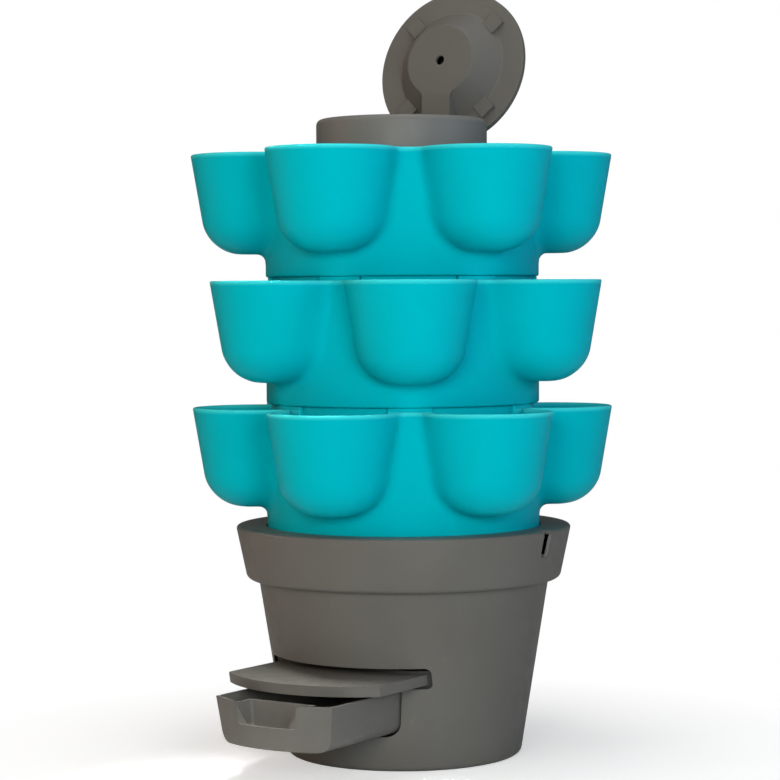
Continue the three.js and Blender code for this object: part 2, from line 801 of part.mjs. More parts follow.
// The lid, drawn closed, with the hinge pin's centre as its origin. It is hollow under a flat top,
// with a vent in its underside. That is a flat flange with four tabs and a conical plug, whose boss
// runs out into the tongue that holds the hinge.
function lidSolid() {
  const bossFloor = lidWall - lidBossDrop;
  const hollowTop = lidEdgeHeight - lidWall;
  const disc = revolved([
    [0, lidEdgeHeight],
    [lidRadius, lidEdgeHeight, lidEdgeRound],
    [lidRadius, 0],
    [lidPlugRadius, 0],
    [lidBossRadius, -lidBossDrop, lidBossRound],
    [lidVentRadius, -lidBossDrop],
    [lidVentRadius, bossFloor],
    [lidBossRadius - lidWall, bossFloor],
    [lidPlugRadius - lidWall, hollowTop],
    [0, hollowTop],
  ], baseSegments);
  const knuckle = rodAlongX(knuckleRadius, tongueWidth, pinBack, -pinDrop, smallSegments);
  const tabs = [];
  for (let corner = 0; corner < 4; corner += 1) {
    const plan = rectangle(
      tabCentreRadius - tabLength / 2, tabCentreRadius + tabLength / 2,
      -tabWidth / 2, tabWidth / 2,
    );
    const tab = prism(plan, -tabDrop, hollowTop);
    tabs.push(turnedAboutAxis(tab, Math.PI / 4 + (corner * Math.PI) / 2));
  }
  const bore = rodAlongX(pinRadius + pinClearance, tongueWidth + overrun, pinBack, -pinDrop, pinSegments);
  const whole = union([disc, lidTongue(), knuckle, ...tabs]);
  return whole.subtract(bore).translate([0, -pinBack, pinDrop]);
}

// The tongue leaves the round boss in two fillets and runs out over the flange.
function lidTongue() {
  const half = tongueWidth / 2;
  const across = half + tongueFillet;
  const reachShare = lidBossRadius / (lidBossRadius + tongueFillet);
  const along = Math.sqrt((lidBossRadius + tongueFillet) ** 2 - across ** 2);
  const touch = [across * reachShare, along * reachShare];
  const cornerBack = touch[1] + ((touch[0] - half) * touch[0]) / touch[1];
  const start = lidBossRadius / 2;
  const plan = [
    [touch[0], touch[1]],
    [half, cornerBack, tongueFillet],
    [half, lidRadius],
    [-half, lidRadius],
    [-half, cornerBack, tongueFillet],
    [-touch[0], touch[1]],
    [-touch[0], start],
    [touch[0], start],
  ];
  const back = lidRadius - lidWall / 2;
  const side = prismAlongX([
    [start, lidWall / 2 - lidBossDrop],
    [start, -lidBossDrop],
    [lidBossRadius, -lidBossDrop],
    [pinBack, -pinDrop - knuckleRadius],
    [back, -pinDrop - knuckleRadius / 2],
    [back, lidWall / 2],
    [lidPlugRadius - lidWall / 2, lidWall / 2],
    [lidBossRadius - lidWall / 2, lidWall / 2 - lidBossDrop],
  ], 2 * lidBossRadius);
  return prism(plan, -lidBossDrop, lidWall).intersect(side);
}

// Assembly

function buildTower() {
  const tower = new THREE.Group();
  tower.add(mesh('base_pot', basePot(), grey));
  tower.add(mesh('gate_shelf', gateShelf(), darkGrey));
  tower.add(mesh('outlet_plate', outletPlate(), darkGrey));
  tower.add(mesh('column_foot', columnFoot(), darkGrey));
  tower.add(mesh('drawer_runner_left', drawerRunner(-1), darkGrey));
  tower.add(mesh('drawer_runner_right', drawerRunner(1), darkGrey));

  const drawer = mesh('drawer', drawerSolid(), grey);
  drawer.position.y = -drawerOut;
  tower.add(drawer);
  const gate = mesh('outlet_gate', gateSolid(), grey);
  gate.position.y = -gateOut;
  tower.add(gate);

  const stack = new THREE.Group();
  stack.rotation.z = stackTurn;
  tower.add(stack);
  stack.add(mesh('drain_deck', deckSolid(), darkGrey));

  const column = columnSolid();
  ['column_lower', 'column_middle', 'column_upper'].forEach((name, order) => {
    const length = mesh(name, column, darkGrey);
    length.position.z = columnBottom + order * columnPitch;
    stack.add(length);
  });

  const tier = tierSolid();
  ['tier_bottom', 'tier_middle', 'tier_top'].forEach((name, order) => {
    const piece = mesh(name, tier, teal);
    piece.position.z = stackBottom + order * tierPitch;
    piece.rotation.z = -Math.PI / 2 + ((order % 2) * cupPitch) / 2;
    stack.add(piece);
  });

  const top = new THREE.Group();
  top.rotation.z = collarTurn;
  tower.add(top);
  top.add(mesh('collar', collarSolid(), grey));
  const hinge = new THREE.Group();
  hinge.position.set(0, pinBack, pinHeight);
  top.add(hinge);
  hinge.add(mesh('hinge_pin', hingePinSolid(), steel));
  const lid = mesh('lid', lidSolid(), grey);
  lid.rotation.x = -lidOpenAngle;
  hinge.add(lid);
  return tower;
}

export default buildTower();
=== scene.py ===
import math

import bmesh
import bpy
import numpy as np
from mathutils import Matrix, Vector


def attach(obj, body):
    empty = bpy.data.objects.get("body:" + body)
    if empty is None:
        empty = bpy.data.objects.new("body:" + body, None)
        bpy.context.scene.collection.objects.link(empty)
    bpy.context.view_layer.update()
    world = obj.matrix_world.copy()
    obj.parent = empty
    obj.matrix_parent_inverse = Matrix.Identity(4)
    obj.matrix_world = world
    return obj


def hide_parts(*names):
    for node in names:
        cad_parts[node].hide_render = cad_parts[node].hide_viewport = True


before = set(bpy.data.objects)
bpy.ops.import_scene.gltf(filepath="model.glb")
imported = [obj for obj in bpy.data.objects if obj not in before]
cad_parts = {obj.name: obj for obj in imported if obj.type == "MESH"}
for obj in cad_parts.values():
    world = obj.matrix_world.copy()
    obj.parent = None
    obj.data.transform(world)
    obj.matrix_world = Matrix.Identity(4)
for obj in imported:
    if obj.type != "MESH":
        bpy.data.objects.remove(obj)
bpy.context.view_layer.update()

# Sizes in millimetres, the same as in the part's source apart from a few small ones

MM = 0.001
STACK_TURN = math.radians(6)
COLLAR_TURN = math.radians(3.4)

CUP_COUNT = 6
CUP_PITCH = 2 * math.pi / CUP_COUNT
TIER_PITCH = 180.4
TIER_HEIGHT = 175.0
TIER_WALL = 4.0
CORE_RADIUS = 196.0
CUP_CENTRE_RADIUS = 211.0
CUP_RIM_RADIUS = 91.3
CUP_DEPTH = 141.8
CUP_TAPER = 0.17
CUP_CORNER_RADIUS = 46.0
BLEND_RADIUS = 13.0
RIM_ROUND = 3.0
# Depth below the rim of the painted highlight band on the tiers
RIM_HIGHLIGHT_DEPTH = 7.0
FOOT_ROUND = 3.0
SPIGOT_INNER_RADIUS = 185.0
SPIGOT_WALL = 3.0
SPIGOT_DEPTH = 14.0
SHELF_INNER_RADIUS = 184.0
SHELF_THICKNESS = 4.0
SHELF_FILLET = 8.0
SADDLE_INNER_RADIUS = 181.0
SADDLE_DEPTH = 16.0
SADDLE_HALF_ANGLE = math.radians(9.3)
NOTCH_HALF_ANGLE = math.radians(9.6)
SEAT_GAP = 0.3
STACK_BOTTOM = 324.0

BASE_HEIGHT = 329.3
BASE_FOOT_RADIUS = 168.272
BASE_TAPER = 0.16
BASE_WALL = 5.0
BASE_FOOT_ROUND = 10.0
BAND_HEIGHT = 76.0
BAND_FOOT_RADIUS = 225.2
BAND_TOP_RADIUS = 241.2
BAND_FOOT_ROUND = 9.0
BAND_TOP_ROUND = 4.0
REBATE_RADIUS = 201.0
REBATE_TOP = 318.6
REBATE_SHELF = 5.0
REBATE_LIP_RADIUS = 197.6
BORE_RADIUS = 194.5
RIM_SLOT_WIDTH = 21.0
RIM_SLOT_DEPTH = 37.0
RIM_SLOT_REACH = 14.0
RIM_SLOT_ROUND = 7.0
BAND_STEP_ROUND = 1.2
REBATE_LIP_ROUND = 1.0

COLUMN_RADIUS = 116.0
COLUMN_WALL = 4.0
COLUMN_SPIGOT_WALL = 3.0
COLUMN_SPIGOT_DEPTH = 12.0
COLUMN_SPIGOT_GAP = 1.6
COLUMN_BOTTOM = 307.0
SLOTS_PER_ROW = 6
SLOT_ROWS = 2
SLOT_WIDTH = 16.0
SLOT_HEIGHT = 44.0
SLOT_ROUND = 2.0
COLUMN_SPIGOT_ROUND = 0.8
COLUMN_FOOT_ROUND = 0.6
COLUMN_TOP_ROUND = 1.0

COLLAR_RADIUS = 122.4
COLLAR_TOP = 910.0
COLLAR_DEPTH = 75.0
COLLAR_TOP_ROUND = 8.6
COLLAR_MOUTH_RADIUS = 106.0
COLLAR_LIP = 5.0
COLLAR_WALL = 9.4
COLLAR_SKIRT_GAP = 0.8
COLLAR_SHOULDER = 35.0
COLLAR_SKIRT_ROUND = 0.8
COLLAR_FOOT_ROUND = 1.5
COLLAR_MOUTH_ROUND = 1.2
COLLAR_LIP_ROUND = 1.0

LID_RADIUS = 118.4
LID_EDGE_HEIGHT = 10.6
LID_EDGE_ROUND = 3.0
LID_FLANGE_ROUND = 1.5
LID_WALL = 5.0
LID_PLUG_RADIUS = 84.0
LID_PLUG_ROUND = 6.0
LID_BOSS_RADIUS = 54.0
LID_BOSS_DROP = 37.0
LID_BOSS_ROUND = 4.0
LID_VENT_RADIUS = 6.9
LID_VENT_ROUND = 0.8
LID_OPEN_ANGLE = math.radians(103.4)
TAB_RADIUS = 91.0
TAB_LENGTH = 24.0
TAB_WIDTH = 24.0
TAB_DROP = 7.0
TAB_COUNT = 4
TAB_ROUND = 1.5
PIN_RADIUS = 3.0
PIN_BACK = 109.3
PIN_DROP = 17.0
PIN_CLEARANCE = 0.3
PIN_HEIGHT = COLLAR_TOP + SEAT_GAP - PIN_DROP
KNUCKLE_RADIUS = 9.5
KNUCKLE_INSET = 0.01
TONGUE_WIDTH = 46.6
TONGUE_FILLET = 14.0
TONGUE_BEND = 40.0
NOTCH_CLEARANCE = 3.0
NOTCH_HALF = TONGUE_WIDTH / 2 + NOTCH_CLEARANCE
NOTCH_DEPTH = 33.0
EAR_THICKNESS = 9.0
EAR_LENGTH = 17.0
EAR_HEIGHT = 25.0

DRAWER_HALF_WIDTH = 95.5
DRAWER_BOTTOM = 53.6
DRAWER_TOP = 116.1
DRAWER_LENGTH = 312.0
DRAWER_WALL = 4.5
DRAWER_CORNER_ROUND = 18.0
DRAWER_TAPER = 0.12
DRAWER_OPENING_GAP = 3.5
DRAWER_OUT = 162.0
GRIP_HALF_WIDTH = 51.0
GRIP_DEPTH = 31.5
GRIP_REACH = 44.0
GRIP_WALL_DROP = 3.5
GRIP_FLOOR_DROP = 8.0
GRIP_ROUND = 8.0
GRIP_ENTRY_ROUND = 4.5

GATE_HALF_WIDTH = 125.0
GATE_BOTTOM = 123.0
GATE_THICKNESS = 14.5
GATE_TOP = GATE_BOTTOM + GATE_THICKNESS
GATE_LENGTH = 313.0
GATE_OUT = 111.0
GATE_SKIN = 4.0
GATE_EDGE_WALL = 8.0
GATE_RIBS = 3
GATE_BAY_ROUND = 3.0
GATE_CORNER_ROUND = 5.0
GATE_TOP_GAP = 9.5
GATE_SIDE_GAP = 8.0
GATE_UNDER_GAP = 5.0
OPENING_ROUND = 7.0

# How far cutters run past a solid, and how far apart the ends of two cutters stay

OVERRUN = 60.0
STAGGER = 1.0
HAIR = 0.05

# Widths of the bevels that soften the edges

INSERT_BEVEL = 0.9
POT_BEVEL = 1.1
DRAWER_BEVEL = 1.6
GATE_BEVEL = 2.0
COLUMN_BEVEL = 0.5
COLLAR_BEVEL = 0.8
PIN_BEVEL = 0.5
LID_BEVEL = 1.2

# Fineness of the meshes: steps of a turn or an arc, and angles in degrees

BEVEL_STEPS = 3
ARC_STEPS = 8
LATHE_STEPS = 160
COLUMN_STEPS = 96
SECTOR_STEPS = 12
ROD_STEPS = 48
SHARP_ANGLE = 32
TIER_SHARP_ANGLE = 50
SKIN_HALVINGS = 34
CUP_SIDE_ANGLES = range(0, 108, 9)
VALLEY_ANGLES = (25.4, 26.2, 27.2, 28.5)
RIM_ANGLES = range(0, 105, 15)
FOOT_ANGLES = (90, 60, 30, 0)
OUTER_FALLS = [*np.arange(3.0, 24.0, 3.0), *np.arange(24.0, 63.5, 1.4)]
INNER_FALLS = [*np.arange(60.0, 24.0, -2.2), *np.arange(23.0, 3.0, -5.0)]

# Plastic: its refractive index, and the depth of its flow marks and of its grain

PLASTIC_IOR = 1.49
FLOW_RELIEF = 0.6
GRAIN_RELIEF = 0.1

# Camera, found by fitting the photograph, in metres

CAMERA_AZIMUTH = math.radians(33)
CAMERA_DISTANCE = 3.552
CAMERA_HEIGHT = 0.659
CAMERA_LENS = 113.9
CAMERA_SENSOR = 36.0
CAMERA_CLIP = 100.0
CAMERA_PITCH = math.radians(2.208)
CAMERA_YAW = math.radians(0.297)
CAMERA_ROLL = math.radians(-0.3)

# Studio, with the floor's sizes in millimetres

FLOOR_HALF = 40000.0
FLOOR_FADE_START = 300.0
FLOOR_FADE_END = 700.0
FLOOR_GLOW = 0.48
WORLD_STRENGTH = 0.16
WHITE = (1, 1, 1, 1)


# Mesh tools

def piece(name, vertices, faces):
    """A shown object from vertices in millimetres."""
    mesh = bpy.data.meshes.new(name)
    mesh.from_pydata([tuple(c * MM for c in v) for v in vertices], [], faces)
    mesh.validate()
    obj = bpy.data.objects.new(name, mesh)
    bpy.context.scene.collection.objects.link(obj)
    smooth(obj)
    return obj


def smooth(obj, sharp=SHARP_ANGLE):
    """Shades the object smooth, except at edges sharper than the angle."""
    obj.data.polygons.foreach_set("use_smooth", [True] * len(obj.data.polygons))
    obj.data.set_sharp_from_angle(angle=math.radians(sharp))
    obj.data.update()


def bake(obj):
    """Turns the object's modifiers into its mesh."""
    graph = bpy.context.evaluated_depsgraph_get()
    mesh = bpy.data.meshes.new_from_object(obj.evaluated_get(graph))
    spent = obj.data
    obj.modifiers.clear()
    obj.data = mesh
    bpy.data.meshes.remove(spent)


def discard(obj):
    mesh = obj.data
    bpy.data.objects.remove(obj)
    bpy.data.meshes.remove(mesh)


def combine(obj, others, operation):
    """Joins the others to the object, cuts them out or keeps what is shared, and removes them."""
    for other in others:
        modifier = obj.modifiers.new("combine", "BOOLEAN")
        modifier.operation = operation
        modifier.solver = "EXACT"
        modifier.object = other
    bake(obj)
    for other in others:
        discard(other)
    return obj


def bevel(obj, width):
    """Rounds the edges and keeps the wide faces' shading flat beside them."""
    modifier = obj.modifiers.new("bevel", "BEVEL")
    modifier.width = width * MM
    modifier.segments = BEVEL_STEPS
    modifier.limit_method = "ANGLE"
    modifier.angle_limit = math.radians(SHARP_ANGLE)
    modifier.harden_normals = True
    modifier.miter_outer = "MITER_ARC"
    smooth(obj, 180)
    bake(obj)


def rounded(corners):
    """Points of a closed outline whose corners [x, y, radius] are rounded."""
    points = []
    for index, (x, y, *rest) in enumerate(corners):
        radius = rest[0] if rest else 0
        if not radius:
            points.append((x, y))
            continue
        before = corners[index - 1]
        after = corners[(index + 1) % len(corners)]
        corner = Vector((x, y))
        to_before = (Vector(before[:2]) - corner).normalized()
        to_after = (Vector(after[:2]) - corner).normalized()
        half = math.acos(max(-1.0, min(1.0, to_before.dot(to_after)))) / 2
        start = corner + to_before * (radius / math.tan(half))
        end = corner + to_after * (radius / math.tan(half))
        centre = corner + (to_before + to_after).normalized() * (radius / math.sin(half))
        first = math.atan2(start.y - centre.y, start.x - centre.x)
        turn = math.atan2(end.y - centre.y, end.x - centre.x) - first
        turn -= 2 * math.pi * round(turn / (2 * math.pi))
        for step in range(ARC_STEPS + 1):
            angle = first + turn * step / ARC_STEPS
            spoke = (radius * math.cos(angle), radius * math.sin(angle))
            points.append((centre.x + spoke[0], centre.y + spoke[1]))
    return points


def lathe(name, corners, segments=LATHE_STEPS, start=0.0, sweep=2 * math.pi):
    """Turns a closed outline of [radius, height, rounding] corners about the tower's axis."""
    outline = rounded(corners)
    full = abs(sweep - 2 * math.pi) < 1e-6
    columns = segments if full else segments + 1
    count = len(outline)
    vertices = []
    for column in range(columns):
        angle = start + sweep * column / segments
        vertices += [(r * math.cos(angle), r * math.sin(angle), z) for r, z in outline]
    faces = []
    for column in range(segments):
        here = column * count
        there = ((column + 1) % columns) * count
        for row in range(count):
            after = (row + 1) % count
            if outline[row][0] == 0 and outline[after][0] == 0:
                continue
            corners_of_face = [here + row, there + row, there + after, here + after]
            if outline[row][0] == 0:
                corners_of_face.pop(1)
            elif outline[after][0] == 0:
                corners_of_face.pop(2)
            faces.append(corners_of_face)
    if not full:
        faces.append(list(range(count))[::-1])
        faces.append([segments * count + row for row in range(count)])
    obj = piece(name, vertices, faces)
    tidy(obj)
    return obj


def tidy(obj, sharp=SHARP_ANGLE):
    """Joins vertices on the axis and turns every face outwards."""
    work = bmesh.new()
    work.from_mesh(obj.data)
    bmesh.ops.remove_doubles(work, verts=work.verts, dist=0.01 * MM)
    bmesh.ops.recalc_face_normals(work, faces=work.faces)
    work.to_mesh(obj.data)
    work.free()
    smooth(obj, sharp)


def extrusion(name, outline, place, low, high):
    """A prism: place turns a point of the outline and a depth into a position."""
    count = len(outline)
    vertices = [place(a, b, depth) for depth in (low, high) for a, b in outline]
    faces = [list(range(count))[::-1], [count + i for i in range(count)]]
    faces += [[i, (i + 1) % count, count + (i + 1) % count, count + i] for i in range(count)]
    obj = piece(name, vertices, faces)
    tidy(obj)
    return obj


def prism_up(outline, low, high):
    return extrusion("prism", rounded(outline), lambda x, y, z: (x, y, z), low, high)


def prism_along_y(outline, front, back):
    return extrusion("prism", rounded(outline), lambda x, z, y: (x, y, z), front, back)


def prism_along_x(outline, half):
    return extrusion("prism", rounded(outline), lambda y, z, x: (x, y, z), -half, half)


def rod_along_x(radius, half, y, z):
    turns = [2 * math.pi * i / ROD_STEPS for i in range(ROD_STEPS)]
    circle = [(y + radius * math.cos(t), z + radius * math.sin(t)) for t in turns]
    return extrusion("rod", circle, lambda a, b, x: (x, a, b), -half, half)


def rectangle(left, right, low, high, corner=0):
    return [(left, low, corner), (right, low, corner), (right, high, corner), (left, high, corner)]


def turned(obj, angle):
    obj.data.transform(Matrix.Rotation(angle, 4, "Z"))
    return obj


def shifted(obj, x, y, z):
    obj.data.transform(Matrix.Translation((x * MM, y * MM, z * MM)))
    return obj


def copy_of(obj, name):
    twin = bpy.data.objects.new(name, obj.data.copy())
    bpy.context.scene.collection.objects.link(twin)
    return twin


def dressed(obj, name, node, body, material):
    """Names a finished piece, gives it its material, hides its node's imported solid and ties it to
    its body.
    """
    obj.name = name
    obj.data.name = name
    obj.data.materials.clear()
    obj.data.materials.append(material)
    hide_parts(node)
    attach(obj, body)


def base_radius(height):
    return BASE_FOOT_RADIUS + BASE_TAPER * height


def base_cone(offset):
    """A solid cone inside the pot's tapered skin, which is moved outwards by the offset."""
    low, high = base_radius(0) + offset, base_radius(BASE_HEIGHT) + offset
    return lathe("cone", [(0, 0), (low, 0), (high, BASE_HEIGHT), (0, BASE_HEIGHT)])


# Materials

class Shader:
    """A small helper that adds nodes and links to one material."""

    def __init__(self, name):
        self.material = bpy.data.materials.new(name)
        self.material.use_nodes = True
        self.nodes = self.material.node_tree.nodes
        self.links = self.material.node_tree.links
        self.surface = self.nodes["Principled BSDF"]

    def add(self, kind, inputs=None, **settings):
        """A node whose inputs are linked where a socket is given, and set where a value is."""
        node = self.nodes.new(kind)
        for key, value in settings.items():
            setattr(node, key, value)
        for key, value in (inputs or {}).items():
            if isinstance(value, bpy.types.NodeSocket):
                self.links.new(value, node.inputs[key])
            else:
                node.inputs[key].default_value = value
        return node

    def place(self):
        return self.add("ShaderNodeTexCoord").outputs["Object"]

    def noise(self, scale, detail=3.0, roughness=0.55, stretch=(1, 1, 1)):
        mapping = self.add("ShaderNodeMapping", {"Vector": self.place(), "Scale": stretch})
        inputs = {"Vector": mapping.outputs["Vector"], "Scale": scale, "Detail": detail,
                  "Roughness": roughness}
        return self.add("ShaderNodeTexNoise", inputs).outputs["Fac"]

    def span(self, value, low, high, to_low=0.0, to_high=1.0):
        """The value carried over from one range to another, and held at its ends."""
        inputs = {"Value": value, "From Min": low, "From Max": high,
                  "To Min": to_low, "To Max": to_high}
        return self.add("ShaderNodeMapRange", inputs).outputs["Result"]

    def mix(self, factor, first, second):
        """A mix of two colours, which come on the node's seventh and eighth inputs."""
        inputs = {0: factor, 6: first, 7: second}
        return self.add("ShaderNodeMix", inputs, data_type="RGBA").outputs[2]

    def compute(self, operation, *values):
        inputs = dict(enumerate(values))
        return self.add("ShaderNodeMath", inputs, operation=operation).outputs[0]

    def times(self, first, *others):
        for other in others:
            first = self.compute("MULTIPLY", first, other)
        return first

    def length(self, vector):
        return self.add("ShaderNodeVectorMath", {0: vector}, operation="LENGTH").outputs["Value"]

    def polar(self):
        """The radius and the height of the shaded point, in metres."""
        place = self.place()
        height = self.add("ShaderNodeSeparateXYZ", {0: place}).outputs["Z"]
        level = self.add("ShaderNodeVectorMath", {0: place, 1: (1, 1, 0)}, operation="MULTIPLY")
        return self.length(level.outputs[0]), height

    def depth(self, radius, height, skin_radius, taper):
        """How far the point lies inside a tapered skin whose radius at the ground is given."""
        skin = self.compute("MULTIPLY_ADD", height, taper, skin_radius * MM)
        return self.compute("SUBTRACT", skin, radius)

    def wire(self, socket, value):
        self.links.new(value, self.surface.inputs[socket])


def rgba(colour):
    return (*colour, 1.0)


def rim_painted_highlight_share(shader):
    """One along each tier's rounded rim, fading to nought just under it: the share of a painted
    highlight.
    """
    radius, height = shader.polar()
    above = shader.compute("SUBTRACT", height, STACK_BOTTOM * MM)
    own = shader.compute("MODULO", above, TIER_PITCH * MM)
    near = shader.span(own, (TIER_HEIGHT - RIM_HIGHLIGHT_DEPTH) * MM, (TIER_HEIGHT - RIM_ROUND / 2) * MM)
    below = shader.span(own, TIER_HEIGHT * MM, (TIER_HEIGHT + SEAT_GAP) * MM, 1.0, 0.0)
    core_inside = CORE_RADIUS - TIER_WALL
    outside = shader.span(radius, core_inside * MM, (core_inside + TIER_WALL / 2) * MM)
    return shader.times(near, below, outside)


def opening_painted_shade_share(shader):
    """One on the walls of the gate's and the drawer's openings: the share of painted shade standing
    for the shadow where no light gets in.
    """
    radius, height = shader.polar()
    depth = shader.depth(radius, height, BASE_FOOT_RADIUS, BASE_TAPER)
    cut = shader.span(depth, BASE_WALL / 6 * MM, BASE_WALL / 3 * MM)
    above = shader.span(height, (DRAWER_BOTTOM - BASE_FOOT_ROUND) * MM, DRAWER_BOTTOM * MM)
    top = GATE_TOP + BASE_FOOT_ROUND
    below = shader.span(height, top * MM, (top + BASE_FOOT_ROUND) * MM, 1.0, 0.0)
    return shader.times(cut, above, below)


def slot_wall_painted_light_share(shader):
    """One on the walls of the slots in the pot's band, which are painted paler as painted light on
    the lit walls.
    """
    radius, height = shader.polar()
    taper = (BAND_TOP_RADIUS - BAND_FOOT_RADIUS) / BAND_HEIGHT
    depth = shader.depth(radius, height, BAND_TOP_RADIUS - taper * BASE_HEIGHT, taper)
    cut = shader.span(depth, BASE_WALL / 6 * MM, BASE_WALL / 3 * MM)
    outer = shader.span(depth, BASE_WALL * MM, 1.2 * BASE_WALL * MM, 1.0, 0.0)
    low = BASE_HEIGHT - RIM_SLOT_DEPTH - RIM_SLOT_ROUND
    above = shader.span(height, low * MM, (low + BAND_TOP_ROUND) * MM)
    top = BASE_HEIGHT - BAND_TOP_ROUND
    below = shader.span(height, (top - BAND_TOP_ROUND) * MM, top * MM, 1.0, 0.0)
    return shader.times(cut, outer, above, below)


def moulded_plastic(name, colour, deep, pale, rough, grain, scuffs, sheen, accents=(), gleam=None):
    """Satin moulded plastic: slow colour drift, fine grain, soft flow marks and faint pale scuffs.

    Each accent is a share of the surface with a colour and a roughness of its own.
    """
    shader = Shader(name)
    drift = shader.span(shader.noise(7.0, 2.0), 0.3, 0.7)
    body = shader.mix(drift, rgba(deep), rgba(colour))
    worn = shader.span(shader.noise(46.0, 5.0, 0.65, (1, 1, 0.35)), 0.62, 0.8, 0.0, scuffs)
    speck = shader.span(shader.noise(420.0, 2.0), 0.68, 0.78, 0.0, scuffs * 0.6)
    marks = shader.compute("MAXIMUM", worn, speck)
    shown = shader.mix(marks, body, rgba(pale))
    finish = shader.span(shader.noise(60.0, 4.0), 0.25, 0.75, rough - 0.05, rough + 0.07)
    for share, accent, accent_rough in accents:
        amount = share(shader)
        shown = shader.mix(amount, shown, rgba(accent))
        finish = shader.span(amount, 0.0, 1.0, finish, accent_rough)
    shader.wire("Base Color", shown)
    shader.wire("Roughness", finish)
    flow = shader.noise(24.0, 2.0, 0.4, (1, 1, 0.5))
    inputs = {"Height": flow, "Strength": 0.12, "Distance": FLOW_RELIEF * MM}
    waves = shader.add("ShaderNodeBump", inputs).outputs["Normal"]
    fine = shader.noise(1300.0, 2.0)
    inputs = {"Height": fine, "Normal": waves, "Strength": grain, "Distance": GRAIN_RELIEF * MM}
    shader.wire("Normal", shader.add("ShaderNodeBump", inputs).outputs["Normal"])
    shader.surface.inputs["IOR"].default_value = PLASTIC_IOR
    shader.surface.inputs["Specular IOR Level"].default_value = sheen
    shader.surface.inputs["Specular Tint"].default_value = rgba(gleam or pale)
    return shader.material


def pin_metal():
    shader = Shader("pin_steel")
    brushed = shader.noise(900.0, 3.0, 0.6, (0.05, 1, 1))
    tone = shader.mix(brushed, rgba((0.42, 0.42, 0.43)), rgba((0.66, 0.66, 0.67)))
    shader.wire("Base Color", tone)
    shader.wire("Roughness", shader.span(brushed, 0.2, 0.8, 0.24, 0.42))
    shader.surface.inputs["Metallic"].default_value = 1.0
    return shader.material


GREY_LOOK = {
    "colour": (0.152, 0.145, 0.132), "deep": (0.136, 0.128, 0.115), "pale": (0.25, 0.24, 0.22),
    "rough": 0.46, "grain": 0.35, "scuffs": 0.3, "sheen": 0.5,
}
TEAL = moulded_plastic(
    "teal_plastic",
    colour=(0.0, 0.475, 0.555), deep=(0.0, 0.452, 0.535), pale=(0.0, 0.56, 0.62),
    rough=0.45, grain=0.2, scuffs=0.25, sheen=0.1,
    # The rim accent is a painted highlight: a paler, glossier teal band along each tier's rim
    accents=[(rim_painted_highlight_share, (0.05, 0.7, 0.74), 0.35)])
GREY = moulded_plastic("grey_plastic", **GREY_LOOK)
POT_GREY = moulded_plastic(
    "pot_plastic", **GREY_LOOK,
    # The opening accent is painted shade: near-black, fully rough walls inside the gate's and the
    # drawer's openings
    accents=[(opening_painted_shade_share, (0.006, 0.006, 0.006), 1.0),
             # The slot accent is painted light: a paler grey on the walls of the band's slots
             (slot_wall_painted_light_share, (0.24, 0.24, 0.25), 0.5)])
# The collar's grey is a lighter copy of the grey plastic: painted light standing for the brighter
# light on the collar
COLLAR_GREY_PAINTED_LIGHTER = moulded_plastic(
    "collar_plastic_painted_lighter",
    colour=(0.184, 0.178, 0.165), deep=(0.17, 0.164, 0.15), pale=(0.27, 0.265, 0.25),
    rough=0.47, grain=0.35, scuffs=0.3, sheen=0.36, gleam=(1.0, 0.98, 0.95))
INNER = moulded_plastic(
    "inner_plastic",
    colour=(0.055, 0.053, 0.049), deep=(0.045, 0.043, 0.04), pale=(0.11, 0.105, 0.1),
    rough=0.55, grain=0.3, scuffs=0.3, sheen=0.3)
STEEL = pin_metal()


# Tiers

def cup_distance(radius, depth):
    slope = math.hypot(1, CUP_TAPER)
    past_wall = (radius - CUP_RIM_RADIUS + CUP_TAPER * depth) / slope + CUP_CORNER_RADIUS
    past_floor = depth - CUP_DEPTH + CUP_CORNER_RADIUS
    corner = np.hypot(np.maximum(past_wall, 0), np.maximum(past_floor, 0))
    return np.minimum(np.maximum(past_wall, past_floor), 0) + corner - CUP_CORNER_RADIUS


def filleted(first, second):
    corner = np.hypot(np.maximum(BLEND_RADIUS - first, 0), np.maximum(BLEND_RADIUS - second, 0))
    return np.maximum(BLEND_RADIUS, np.minimum(first, second)) - corner


def tier_distance(radius, angle, height):
    """Distance from the tier's outer skin: a round core joined by fillets to tapered cups."""
    nearest = np.round(angle / CUP_PITCH) * CUP_PITCH
    distance = radius - CORE_RADIUS
    for cup_angle in (nearest, nearest - CUP_PITCH, nearest + CUP_PITCH):
        across = radius * np.cos(angle - cup_angle) - CUP_CENTRE_RADIUS
        along = radius * np.sin(angle - cup_angle)
        distance = filleted(distance, cup_distance(np.hypot(across, along), TIER_HEIGHT - height))
    return distance


def reach(start_height, drop, angle, offset):
    """Where rays from the column's radius, falling at an angle, pass the skin by an offset."""
    near = np.zeros_like(angle)
    far = np.full_like(angle, CUP_CENTRE_RADIUS + CUP_RIM_RADIUS)
    for _ in range(SKIN_HALVINGS):
        middle = (near + far) / 2
        radius = COLUMN_RADIUS + middle * math.cos(drop)
        height = start_height - middle * math.sin(drop)
        inside = tier_distance(radius, angle, height) < offset
        near = np.where(inside, middle, near)
        far = np.where(inside, far, middle)
    return COLUMN_RADIUS + near * math.cos(drop), start_height - near * math.sin(drop)


def tier_angles():
    """Angles round the tier, closest together where a cup's side turns back to the core."""
    half = [math.radians(degrees) for degrees in VALLEY_ANGLES]
    for degrees in CUP_SIDE_ANGLES:
        across = CUP_RIM_RADIUS * math.sin(math.radians(degrees))
        out = CUP_CENTRE_RADIUS + CUP_RIM_RADIUS * math.cos(math.radians(degrees))
        half.append(math.atan2(across, out))
    around = sorted([-a for a in half if a > 0] + half + [-CUP_PITCH / 2])
    return np.array([cup * CUP_PITCH + a for cup in range(CUP_COUNT) for a in around])


